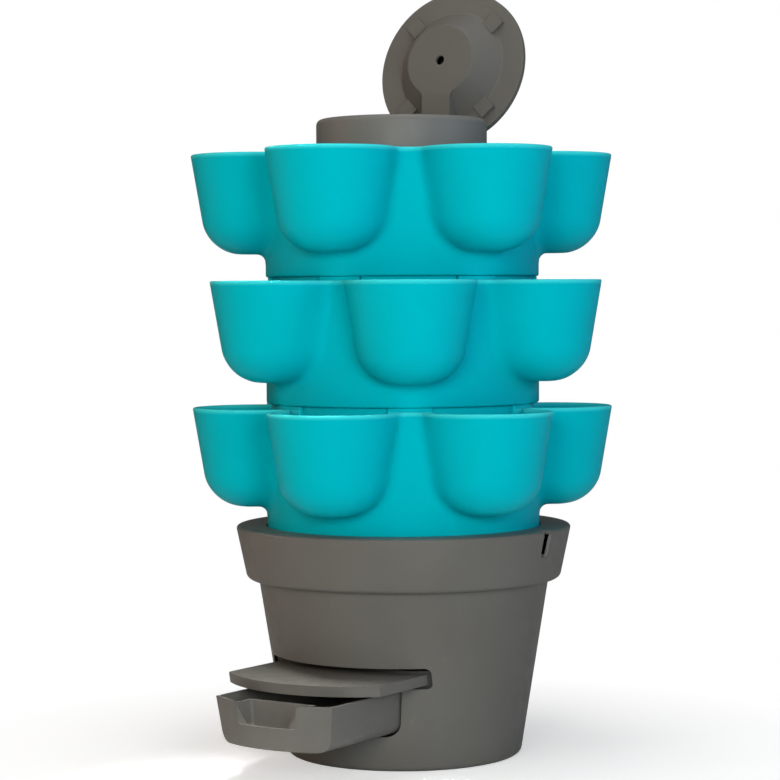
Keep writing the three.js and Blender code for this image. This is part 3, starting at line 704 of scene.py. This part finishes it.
def tier_shell():
    """The moulding's skin: over the rim, down outside, round the foot and up inside."""
    angles = tier_angles()
    rows = []

    def level(height, offset):
        rows.append(reach(height, 0.0, angles, offset))

    def ray(degrees, offset):
        rows.append(reach(TIER_HEIGHT, math.radians(degrees), angles, offset))

    def ring(radius, height):
        rows.append((np.full_like(angles, radius), np.full_like(angles, height)))

    quarter = [math.radians(degrees) for degrees in RIM_ANGLES]
    inner_round = TIER_WALL - RIM_ROUND
    for turn in quarter:
        drop = inner_round * (1 - math.sin(turn))
        level(TIER_HEIGHT - drop, -TIER_WALL + inner_round * (1 - math.cos(turn)))
    for turn in reversed(quarter):
        level(TIER_HEIGHT - RIM_ROUND * (1 - math.sin(turn)), -RIM_ROUND * (1 - math.cos(turn)))
    for degrees in OUTER_FALLS:
        ray(degrees, 0)
    for turn in map(math.radians, FOOT_ANGLES):
        ring(CORE_RADIUS - FOOT_ROUND * (1 - math.sin(turn)), FOOT_ROUND * (1 - math.cos(turn)))
    ring(SHELF_INNER_RADIUS, 0)
    ring(SHELF_INNER_RADIUS, SHELF_THICKNESS)
    ring(CORE_RADIUS - TIER_WALL - SHELF_FILLET / 2, SHELF_THICKNESS + SHELF_FILLET / 8)
    ring(CORE_RADIUS - TIER_WALL, SHELF_THICKNESS + SHELF_FILLET)
    for degrees in INNER_FALLS:
        ray(degrees, -TIER_WALL)

    count = len(rows)
    vertices = []
    for column, angle in enumerate(angles):
        along, across = math.cos(angle), math.sin(angle)
        vertices += [(radius[column] * along, radius[column] * across, height[column])
                     for radius, height in rows]
    faces = []
    for column in range(len(angles)):
        here, there = column * count, ((column + 1) % len(angles)) * count
        for row in range(count):
            after = (row + 1) % count
            faces.append([here + row, there + row, there + after, here + after])
    shell = piece("tier", vertices, faces)
    tidy(shell, TIER_SHARP_ANGLE)
    return shell


def ring_sector(inner, outer, bottom, top, middle, half):
    outline = rectangle(inner, outer, bottom, top)
    return lathe("sector", outline, SECTOR_STEPS, middle - half, 2 * half)


def tier_inserts(saddle_top):
    """The saddles that carry the next tier, and the notched spigot below the skirt."""
    parts = []
    for cup in range(CUP_COUNT):
        valley = (cup + 0.5) * CUP_PITCH
        parts.append(ring_sector(SADDLE_INNER_RADIUS, CORE_RADIUS - FOOT_ROUND,
                                 TIER_HEIGHT - SADDLE_DEPTH, saddle_top,
                                 valley, SADDLE_HALF_ANGLE))
        parts.append(ring_sector(SPIGOT_INNER_RADIUS, SPIGOT_INNER_RADIUS + SPIGOT_WALL,
                                 -SPIGOT_DEPTH, SHELF_THICKNESS / 2,
                                 valley, CUP_PITCH / 2 - NOTCH_HALF_ANGLE))
    for part in parts:
        bevel(part, INSERT_BEVEL)
    return parts


def joined(objects):
    """One object of several, without cutting them."""
    work = bmesh.new()
    for obj in objects:
        work.from_mesh(obj.data)
    target = objects[0]
    work.to_mesh(target.data)
    work.free()
    for obj in objects[1:]:
        discard(obj)
    return target


def make_tiers():
    """Three tiers, of which the top one's saddles carry nothing and stay below its rim."""
    shell = tier_shell()
    for order, name in enumerate(("tier_bottom", "tier_middle", "tier_top")):
        saddle_top = TIER_HEIGHT - RIM_ROUND if name == "tier_top" else TIER_PITCH - SEAT_GAP
        skin = joined([copy_of(shell, name), *tier_inserts(saddle_top)])
        smooth(skin, TIER_SHARP_ANGLE)
        turned(skin, -math.pi / 2 + (order % 2) * CUP_PITCH / 2 + STACK_TURN)
        shifted(skin, 0, 0, STACK_BOTTOM + order * TIER_PITCH)
        dressed(skin, f"{name}_skin", name, name, TEAL)
    discard(shell)


# Base

def make_pot():
    band_bottom = BASE_HEIGHT - BAND_HEIGHT
    slope = (BAND_TOP_RADIUS - BAND_FOOT_RADIUS) / BAND_HEIGHT

    def band_inside(height):
        return BAND_FOOT_RADIUS + slope * (height - band_bottom) - BASE_WALL

    ledge_under = BASE_HEIGHT - BASE_WALL
    shelf_under = REBATE_TOP - REBATE_SHELF
    floor_corner = BASE_FOOT_ROUND - BASE_WALL
    pot = lathe("pot", [
        (0, 0),
        (BASE_FOOT_RADIUS, 0, BASE_FOOT_ROUND),
        (base_radius(band_bottom), band_bottom, BAND_STEP_ROUND),
        (BAND_FOOT_RADIUS, band_bottom, BAND_FOOT_ROUND),
        (BAND_TOP_RADIUS, BASE_HEIGHT, BAND_TOP_ROUND),
        (REBATE_LIP_RADIUS, BASE_HEIGHT, REBATE_LIP_ROUND),
        (REBATE_LIP_RADIUS, STACK_BOTTOM + SEAT_GAP),
        (REBATE_RADIUS, STACK_BOTTOM + SEAT_GAP),
        (REBATE_RADIUS, REBATE_TOP),
        (BORE_RADIUS, REBATE_TOP),
        (BORE_RADIUS, shelf_under),
        (REBATE_RADIUS + BASE_WALL, shelf_under),
        (REBATE_RADIUS + BASE_WALL, ledge_under),
        (band_inside(ledge_under), ledge_under),
        (band_inside(band_bottom + BASE_WALL) - BAND_FOOT_ROUND / 2, band_bottom + BASE_WALL),
        (base_radius(band_bottom + BASE_WALL) - BASE_WALL, band_bottom + BASE_WALL),
        (base_radius(BASE_WALL) - BASE_WALL, BASE_WALL, floor_corner),
        (0, BASE_WALL),
    ])
    gate_side = GATE_HALF_WIDTH + GATE_SIDE_GAP
    gate_opening = rectangle(-gate_side, gate_side, GATE_BOTTOM - GATE_UNDER_GAP,
                             GATE_TOP + GATE_TOP_GAP, OPENING_ROUND)
    drawer_opening = drawer_outline(-DRAWER_OPENING_GAP, DRAWER_BOTTOM, GATE_TOP)
    front = -base_radius(GATE_TOP) - OVERRUN
    back = -GATE_HALF_WIDTH / 2
    opening = prism_along_y(gate_opening, front, back)
    combine(opening, [prism_along_y(drawer_opening, front, back)], "UNION")
    half = RIM_SLOT_WIDTH / 2
    slot_bottom = BASE_HEIGHT - RIM_SLOT_DEPTH
    slot = [(-half, slot_bottom, RIM_SLOT_ROUND), (half, slot_bottom, RIM_SLOT_ROUND),
            (half, BASE_HEIGHT + OVERRUN), (-half, BASE_HEIGHT + OVERRUN)]
    cutters = [opening]
    for side in (-1, 1):
        cutter = prism_along_y(slot, BAND_TOP_RADIUS - RIM_SLOT_REACH, BAND_TOP_RADIUS + OVERRUN)
        cutters.append(turned(cutter, side * math.pi / 2))
    combine(pot, cutters, "DIFFERENCE")
    bevel(pot, POT_BEVEL)
    dressed(pot, "pot_shell", "base_pot", "base", POT_GREY)


def drawer_outline(inset, bottom, top):
    """The drawer's section with its leaning sides, shrunk by an inset at the sides and below."""
    low = bottom + inset
    low_half, high_half = (DRAWER_HALF_WIDTH - DRAWER_TAPER * (DRAWER_TOP - z) - inset
                           for z in (low, top))
    corner = DRAWER_CORNER_ROUND - inset
    return [(-low_half, low, corner), (low_half, low, corner), (high_half, top), (-high_half, top)]


def grip_outline(margin, bottom, top, corner):
    """The grip's section, which leans inwards as the drawer does, grown by a margin."""
    low_half, high_half = (GRIP_HALF_WIDTH + margin - DRAWER_TAPER * (DRAWER_TOP - z)
                           for z in (bottom, top))
    return [(-low_half, bottom, corner), (low_half, bottom, corner),
            (high_half, top), (-high_half, top)]


def make_drawer():
    radius = base_radius(DRAWER_TOP)
    back = DRAWER_LENGTH - radius
    front = -radius - OVERRUN
    high = DRAWER_TOP + OVERRUN
    drawer = prism_along_y(drawer_outline(0, DRAWER_BOTTOM, DRAWER_TOP), front, back)
    combine(drawer, [base_cone(0)], "INTERSECT")

    grip_back = GRIP_REACH - radius
    grip_floor = DRAWER_TOP - GRIP_DEPTH - GRIP_FLOOR_DROP
    inner_outline = drawer_outline(DRAWER_WALL, DRAWER_BOTTOM, high)
    inside = prism_along_y(inner_outline, front, back - DRAWER_WALL)
    combine(inside, [base_cone(-DRAWER_WALL)], "INTERSECT")
    housing_outline = grip_outline(DRAWER_WALL, grip_floor - DRAWER_WALL,
                                   DRAWER_TOP - GRIP_WALL_DROP, GRIP_ROUND + DRAWER_WALL)
    housing = prism_along_y(housing_outline, front - STAGGER, grip_back + DRAWER_WALL)
    combine(inside, [housing], "DIFFERENCE")

    pocket = prism_along_y(grip_outline(0, grip_floor, high, GRIP_ROUND), front, grip_back)
    combine(pocket, [base_cone(-DRAWER_WALL)], "INTERSECT")
    plan = rectangle(-GRIP_HALF_WIDTH, GRIP_HALF_WIDTH,
                     front - STAGGER, grip_back - HAIR, GRIP_ROUND)
    combine(pocket, [prism_up(plan, DRAWER_BOTTOM, high + STAGGER)], "INTERSECT")

    wide = GRIP_HALF_WIDTH + OVERRUN
    over = high + 2 * STAGGER
    entry = grip_outline(0, DRAWER_TOP - GRIP_DEPTH, DRAWER_TOP, GRIP_ENTRY_ROUND)[:2]
    entry += [(GRIP_HALF_WIDTH, DRAWER_TOP, GRIP_ENTRY_ROUND), (wide, DRAWER_TOP), (wide, over),
              (-wide, over), (-wide, DRAWER_TOP), (-GRIP_HALF_WIDTH, DRAWER_TOP, GRIP_ENTRY_ROUND)]
    cut = prism_along_y(entry, front - 2 * STAGGER, -radius + DRAWER_WALL + GRIP_ROUND)
    for cutter in (inside, pocket, cut):
        combine(drawer, [cutter], "DIFFERENCE")
    bevel(drawer, DRAWER_BEVEL)
    shifted(drawer, 0, -DRAWER_OUT, 0)
    dressed(drawer, "drawer_shell", "drawer", "drawer", GREY)


def make_gate():
    radius = base_radius(GATE_TOP)
    back = GATE_LENGTH - radius
    front = -radius - OVERRUN
    corner = -math.sqrt(radius ** 2 - GATE_HALF_WIDTH ** 2)
    plan = [(GATE_HALF_WIDTH, back, GATE_EDGE_WALL), (-GATE_HALF_WIDTH, back, GATE_EDGE_WALL),
            (-GATE_HALF_WIDTH, corner, GATE_CORNER_ROUND), (0, radius ** 2 / corner),
            (GATE_HALF_WIDTH, corner, GATE_CORNER_ROUND)]
    gate = combine(prism_up(plan, GATE_BOTTOM, GATE_TOP), [base_cone(0)], "INTERSECT")
    width = 2 * (GATE_HALF_WIDTH - GATE_EDGE_WALL)
    bay = (width - GATE_RIBS * GATE_SKIN) / (GATE_RIBS + 1)
    for rib in range(GATE_RIBS + 1):
        left = -width / 2 + rib * (bay + GATE_SKIN)
        outline = rectangle(left, left + bay, front, back - GATE_EDGE_WALL, GATE_BAY_ROUND)
        hollow = prism_up(outline, GATE_BOTTOM - OVERRUN, GATE_TOP - GATE_SKIN)
        combine(hollow, [base_cone(-GATE_EDGE_WALL)], "INTERSECT")
        combine(gate, [hollow], "DIFFERENCE")
    bevel(gate, GATE_BEVEL)
    shifted(gate, 0, -GATE_OUT, 0)
    dressed(gate, "gate_plate", "outlet_gate", "gate", GREY)


# Column, collar and lid

def make_columns():
    spigot_outer = COLUMN_RADIUS - COLUMN_WALL - COLUMN_SPIGOT_GAP
    spigot_inner = spigot_outer - COLUMN_SPIGOT_WALL
    inner = COLUMN_RADIUS - COLUMN_WALL
    column_top = COLLAR_TOP - COLLAR_SHOULDER - SEAT_GAP
    pitch = (column_top + SEAT_GAP - COLUMN_BOTTOM) / 3
    top = pitch - SEAT_GAP
    tube = lathe("tube", [
        (spigot_inner, -COLUMN_SPIGOT_DEPTH, COLUMN_SPIGOT_ROUND),
        (spigot_outer, -COLUMN_SPIGOT_DEPTH, COLUMN_SPIGOT_ROUND),
        (spigot_outer, 0),
        (COLUMN_RADIUS, 0, COLUMN_FOOT_ROUND),
        (COLUMN_RADIUS, top, COLUMN_TOP_ROUND),
        (inner, top, COLUMN_TOP_ROUND),
        (inner, COLUMN_SPIGOT_DEPTH),
        (spigot_inner, COLUMN_WALL),
    ], COLUMN_STEPS)
    cutters = []
    row_pitch = top / SLOT_ROWS
    for row in range(SLOT_ROWS):
        middle = (row + 0.5) * row_pitch + COLUMN_WALL
        for slot in range(SLOTS_PER_ROW):
            outline = rectangle(-SLOT_WIDTH / 2, SLOT_WIDTH / 2,
                                middle - SLOT_HEIGHT / 2, middle + SLOT_HEIGHT / 2, SLOT_ROUND)
            cutter = prism_along_y(outline, 0, COLUMN_RADIUS + OVERRUN)
            cutters.append(turned(cutter, (slot + row / 2) * 2 * math.pi / SLOTS_PER_ROW))
    combine(tube, cutters, "DIFFERENCE")
    bevel(tube, COLUMN_BEVEL)
    turned(tube, STACK_TURN)
    for order, name in enumerate(("column_lower", "column_middle", "column_upper")):
        length = shifted(copy_of(tube, name), 0, 0, COLUMN_BOTTOM + order * pitch)
        dressed(length, f"{name}_tube", name, "stack", INNER)
    discard(tube)


def make_collar():
    skirt_inner = COLUMN_RADIUS + COLLAR_SKIRT_GAP
    bottom = COLLAR_TOP - COLLAR_DEPTH
    shoulder = COLLAR_TOP - COLLAR_SHOULDER
    ring = lathe("ring", [
        (skirt_inner, bottom, COLLAR_SKIRT_ROUND),
        (COLLAR_RADIUS, bottom, COLLAR_FOOT_ROUND),
        (COLLAR_RADIUS, COLLAR_TOP, COLLAR_TOP_ROUND),
        (COLLAR_MOUTH_RADIUS, COLLAR_TOP, COLLAR_MOUTH_ROUND),
        (COLLAR_MOUTH_RADIUS, COLLAR_TOP - COLLAR_LIP, COLLAR_LIP_ROUND),
        (COLLAR_RADIUS - COLLAR_WALL, COLLAR_TOP - COLLAR_LIP),
        (COLLAR_RADIUS - COLLAR_WALL, shoulder),
        (skirt_inner, shoulder),
    ])
    ear_back = PIN_BACK + EAR_LENGTH / 3
    ear_top = COLLAR_TOP - COLLAR_LIP / 2
    ears = []
    for side in (-1, 1):
        left, right = sorted((side * NOTCH_HALF, side * (NOTCH_HALF + EAR_THICKNESS)))
        plan = rectangle(left, right, ear_back - EAR_LENGTH, ear_back)
        ears.append(prism_up(plan, ear_top - EAR_HEIGHT, ear_top))
    combine(ring, ears, "UNION")
    plan = rectangle(-NOTCH_HALF, NOTCH_HALF,
                     COLLAR_MOUTH_RADIUS - OVERRUN, COLLAR_RADIUS + OVERRUN)
    notch = prism_up(plan, COLLAR_TOP - NOTCH_DEPTH, COLLAR_TOP + OVERRUN)
    bore_half = NOTCH_HALF + EAR_THICKNESS + SEAT_GAP / 2
    bore = rod_along_x(PIN_RADIUS + PIN_CLEARANCE, bore_half, PIN_BACK, PIN_HEIGHT)
    combine(ring, [notch, bore], "DIFFERENCE")
    bevel(ring, COLLAR_BEVEL)
    turned(ring, COLLAR_TURN)
    dressed(ring, "collar_ring", "collar", "collar", COLLAR_GREY_PAINTED_LIGHTER)


def make_pin():
    half = NOTCH_HALF + EAR_THICKNESS - SEAT_GAP
    pin = rod_along_x(PIN_RADIUS, half, PIN_BACK, PIN_HEIGHT)
    bevel(pin, PIN_BEVEL)
    turned(pin, COLLAR_TURN)
    dressed(pin, "hinge_rod", "hinge_pin", "collar", STEEL)


def lid_tongue():
    """The tongue that leaves the round boss in two fillets and runs out over the flange."""
    half = TONGUE_WIDTH / 2
    across = half + TONGUE_FILLET
    along = math.sqrt((LID_BOSS_RADIUS + TONGUE_FILLET) ** 2 - across ** 2)
    reach_share = LID_BOSS_RADIUS / (LID_BOSS_RADIUS + TONGUE_FILLET)
    touch = (across * reach_share, along * reach_share)
    corner = touch[1] + (touch[0] - half) * touch[0] / touch[1]
    start = LID_BOSS_RADIUS / 2
    back = LID_RADIUS - LID_WALL / 2
    right = [(touch[0], start), touch, (half, corner, TONGUE_FILLET), (half, LID_RADIUS)]
    plan = right + [(-x, y, *rest) for x, y, *rest in reversed(right)]
    side = [
        (start, LID_WALL / 2 - LID_BOSS_DROP),
        (start, -LID_BOSS_DROP),
        (LID_BOSS_RADIUS, -LID_BOSS_DROP, TONGUE_BEND),
        (PIN_BACK, -PIN_DROP - KNUCKLE_RADIUS),
        (back, -PIN_DROP - KNUCKLE_RADIUS / 2),
        (back, LID_WALL / 2),
        (LID_PLUG_RADIUS - LID_WALL / 2, LID_WALL / 2),
        (LID_BOSS_RADIUS - LID_WALL / 2, LID_WALL / 2 - LID_BOSS_DROP),
    ]
    tongue = prism_up(plan, -LID_BOSS_DROP - STAGGER, LID_WALL)
    return combine(tongue, [prism_along_x(side, LID_BOSS_RADIUS)], "INTERSECT")


def make_lid():
    boss_floor = LID_WALL - LID_BOSS_DROP
    hollow_top = LID_EDGE_HEIGHT - LID_WALL
    lid = lathe("lid", [
        (0, LID_EDGE_HEIGHT),
        (LID_RADIUS, LID_EDGE_HEIGHT, LID_EDGE_ROUND),
        (LID_RADIUS, 0, LID_FLANGE_ROUND),
        (LID_PLUG_RADIUS, 0, LID_PLUG_ROUND),
        (LID_BOSS_RADIUS, -LID_BOSS_DROP, LID_BOSS_ROUND),
        (LID_VENT_RADIUS, -LID_BOSS_DROP, LID_VENT_ROUND),
        (LID_VENT_RADIUS, boss_floor),
        (LID_BOSS_RADIUS - LID_WALL, boss_floor),
        (LID_PLUG_RADIUS - LID_WALL, hollow_top),
        (0, hollow_top),
    ])
    knuckle = rod_along_x(KNUCKLE_RADIUS, TONGUE_WIDTH / 2 - KNUCKLE_INSET, PIN_BACK, -PIN_DROP)
    parts = [lid_tongue(), knuckle]
    plan = rectangle(TAB_RADIUS - TAB_LENGTH / 2, TAB_RADIUS + TAB_LENGTH / 2,
                     -TAB_WIDTH / 2, TAB_WIDTH / 2, TAB_ROUND)
    for tab in range(TAB_COUNT):
        turn = (tab + 0.5) * 2 * math.pi / TAB_COUNT
        parts.append(turned(prism_up(plan, -TAB_DROP, hollow_top), turn))
    combine(lid, parts, "UNION")
    bore_half = TONGUE_WIDTH / 2 + OVERRUN
    bore = rod_along_x(PIN_RADIUS + PIN_CLEARANCE, bore_half, PIN_BACK, -PIN_DROP)
    combine(lid, [bore], "DIFFERENCE")
    bevel(lid, LID_BEVEL)
    shifted(lid, 0, -PIN_BACK, PIN_DROP)
    lid.data.transform(Matrix.Rotation(-LID_OPEN_ANGLE, 4, "X"))
    shifted(lid, 0, PIN_BACK, PIN_HEIGHT)
    turned(lid, COLLAR_TURN)
    dressed(lid, "lid_shell", "lid", "lid", GREY)


def dress_hidden_nodes():
    """The nodes inside the base keep their solids and get the dark plastic."""
    for name in ("gate_shelf", "outlet_plate", "column_foot",
                 "drawer_runner_left", "drawer_runner_right", "drain_deck"):
        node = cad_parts[name]
        node.data.materials.clear()
        node.data.materials.append(INNER)


# Studio

def make_floor():
    """White card that takes the tower's shadow and fades into the white backdrop away from it."""
    shader = Shader("floor_card")
    tone = shader.span(shader.noise(3.0, 2.0), 0.3, 0.7)
    shader.wire("Base Color", shader.mix(tone, rgba((0.83, 0.83, 0.83)), rgba((0.85, 0.85, 0.85))))
    shader.surface.inputs["Roughness"].default_value = 0.9
    shader.surface.inputs["Specular IOR Level"].default_value = 0.0
    far = shader.length(shader.place())
    fade = shader.span(far, FLOOR_FADE_START * MM, FLOOR_FADE_END * MM)
    seen = shader.add("ShaderNodeLightPath").outputs["Is Camera Ray"]
    card = shader.surface.outputs[0]
    glow = shader.add("ShaderNodeEmission", {"Color": WHITE, "Strength": FLOOR_GLOW}).outputs[0]
    white = shader.add("ShaderNodeEmission", {"Color": WHITE, "Strength": 1.0}).outputs[0]
    lit = shader.add("ShaderNodeAddShader", {0: card, 1: glow}).outputs[0]
    faded = shader.add("ShaderNodeMixShader", {0: fade, 1: lit, 2: white}).outputs[0]
    both = shader.add("ShaderNodeMixShader", {0: seen, 1: card, 2: faded}).outputs[0]
    shader.links.new(both, shader.nodes["Material Output"].inputs["Surface"])
    corners = [(x, y, 0) for x, y, _ in rectangle(-FLOOR_HALF, FLOOR_HALF, -FLOOR_HALF, FLOOR_HALF)]
    floor = piece("floor", corners, [[0, 1, 2, 3]])
    floor.data.materials.append(shader.material)


def seen_from_camera(right, depth, height):
    """A place given to the camera's right, towards the camera and up from the tower's foot."""
    out = Vector((math.sin(CAMERA_AZIMUTH), -math.cos(CAMERA_AZIMUTH), 0))
    across = Vector((math.cos(CAMERA_AZIMUTH), math.sin(CAMERA_AZIMUTH), 0))
    return out * depth + across * right + Vector((0, 0, height))


def area_light(name, place, size, power, colour=(1, 1, 1), target=(0, 0, 0.5), spread=180):
    """A round soft lamp, placed as seen_from_camera says and turned to a target in metres."""
    place = seen_from_camera(*place)
    light = bpy.data.lights.new(name, "AREA")
    light.shape = "DISK"
    light.size = size
    light.energy = power
    light.color = colour
    light.spread = math.radians(spread)
    lamp = bpy.data.objects.new(name, light)
    lamp.location = place
    lamp.rotation_euler = (Vector(target) - place).to_track_quat("-Z", "Y").to_euler()
    bpy.context.scene.collection.objects.link(lamp)


def make_lights():
    area_light("key", (-0.7, 3.4, 1.2), size=1.1, power=36, colour=(1.0, 0.95, 0.84))
    area_light("fill", (0.9, 3.3, 0.9), size=1.1, power=35, colour=(0.8, 0.94, 1.0))
    area_light("high", (-1.4, 2.0, 2.9), size=1.2, power=8, colour=(1.0, 0.99, 0.97))
    area_light("warm_side", (-2.6, 0.1, 1.0), size=1.4, power=7, colour=(1.0, 0.4, 0.05))
    area_light("cool_side", (2.4, 1.0, 1.5), size=1.2, power=1.1, colour=(0.5, 0.62, 1.0),
               target=(0, 0, 0.9), spread=50)
    area_light("top", (0.0, 0.3, 3.4), size=1.6, power=24)
    area_light("gate", (-0.32, 0.41, 1.9), size=0.2, power=0.42, colour=(1.0, 1.0, 0.97),
               target=(0, -0.36, 0.14), spread=18)


def make_world():
    """A dim even sky that the camera sees as white."""
    world = bpy.data.worlds.new("studio")
    bpy.context.scene.world = world
    world.use_nodes = True
    nodes = world.node_tree.nodes
    links = world.node_tree.links
    soft = nodes["Background"]
    soft.inputs["Color"].default_value = WHITE
    soft.inputs["Strength"].default_value = WORLD_STRENGTH
    white = nodes.new("ShaderNodeBackground")
    white.inputs["Color"].default_value = WHITE
    white.inputs["Strength"].default_value = 1.0
    path = nodes.new("ShaderNodeLightPath")
    mix = nodes.new("ShaderNodeMixShader")
    links.new(path.outputs["Is Camera Ray"], mix.inputs[0])
    links.new(soft.outputs[0], mix.inputs[1])
    links.new(white.outputs[0], mix.inputs[2])
    links.new(mix.outputs[0], nodes["World Output"].inputs["Surface"])


def make_camera():
    camera = bpy.data.cameras.new("camera")
    camera.lens = CAMERA_LENS
    camera.sensor_width = CAMERA_SENSOR
    camera.clip_end = CAMERA_CLIP
    eye = bpy.data.objects.new("camera", camera)
    eye.location = seen_from_camera(0, CAMERA_DISTANCE, CAMERA_HEIGHT)
    turn = Matrix.Rotation(CAMERA_AZIMUTH + CAMERA_YAW, 3, "Z")
    tilt = Matrix.Rotation(math.pi / 2 - CAMERA_PITCH, 3, "X")
    roll = Matrix.Rotation(CAMERA_ROLL, 3, "Z")
    eye.rotation_euler = (turn @ tilt @ roll).to_euler()
    bpy.context.scene.collection.objects.link(eye)
    bpy.context.scene.camera = eye


make_tiers()
make_pot()
make_drawer()
make_gate()
make_columns()
make_collar()
make_pin()
make_lid()
dress_hidden_nodes()
make_floor()
make_lights()
make_world()
make_camera()
bpy.context.scene.view_settings.view_transform = "Standard"
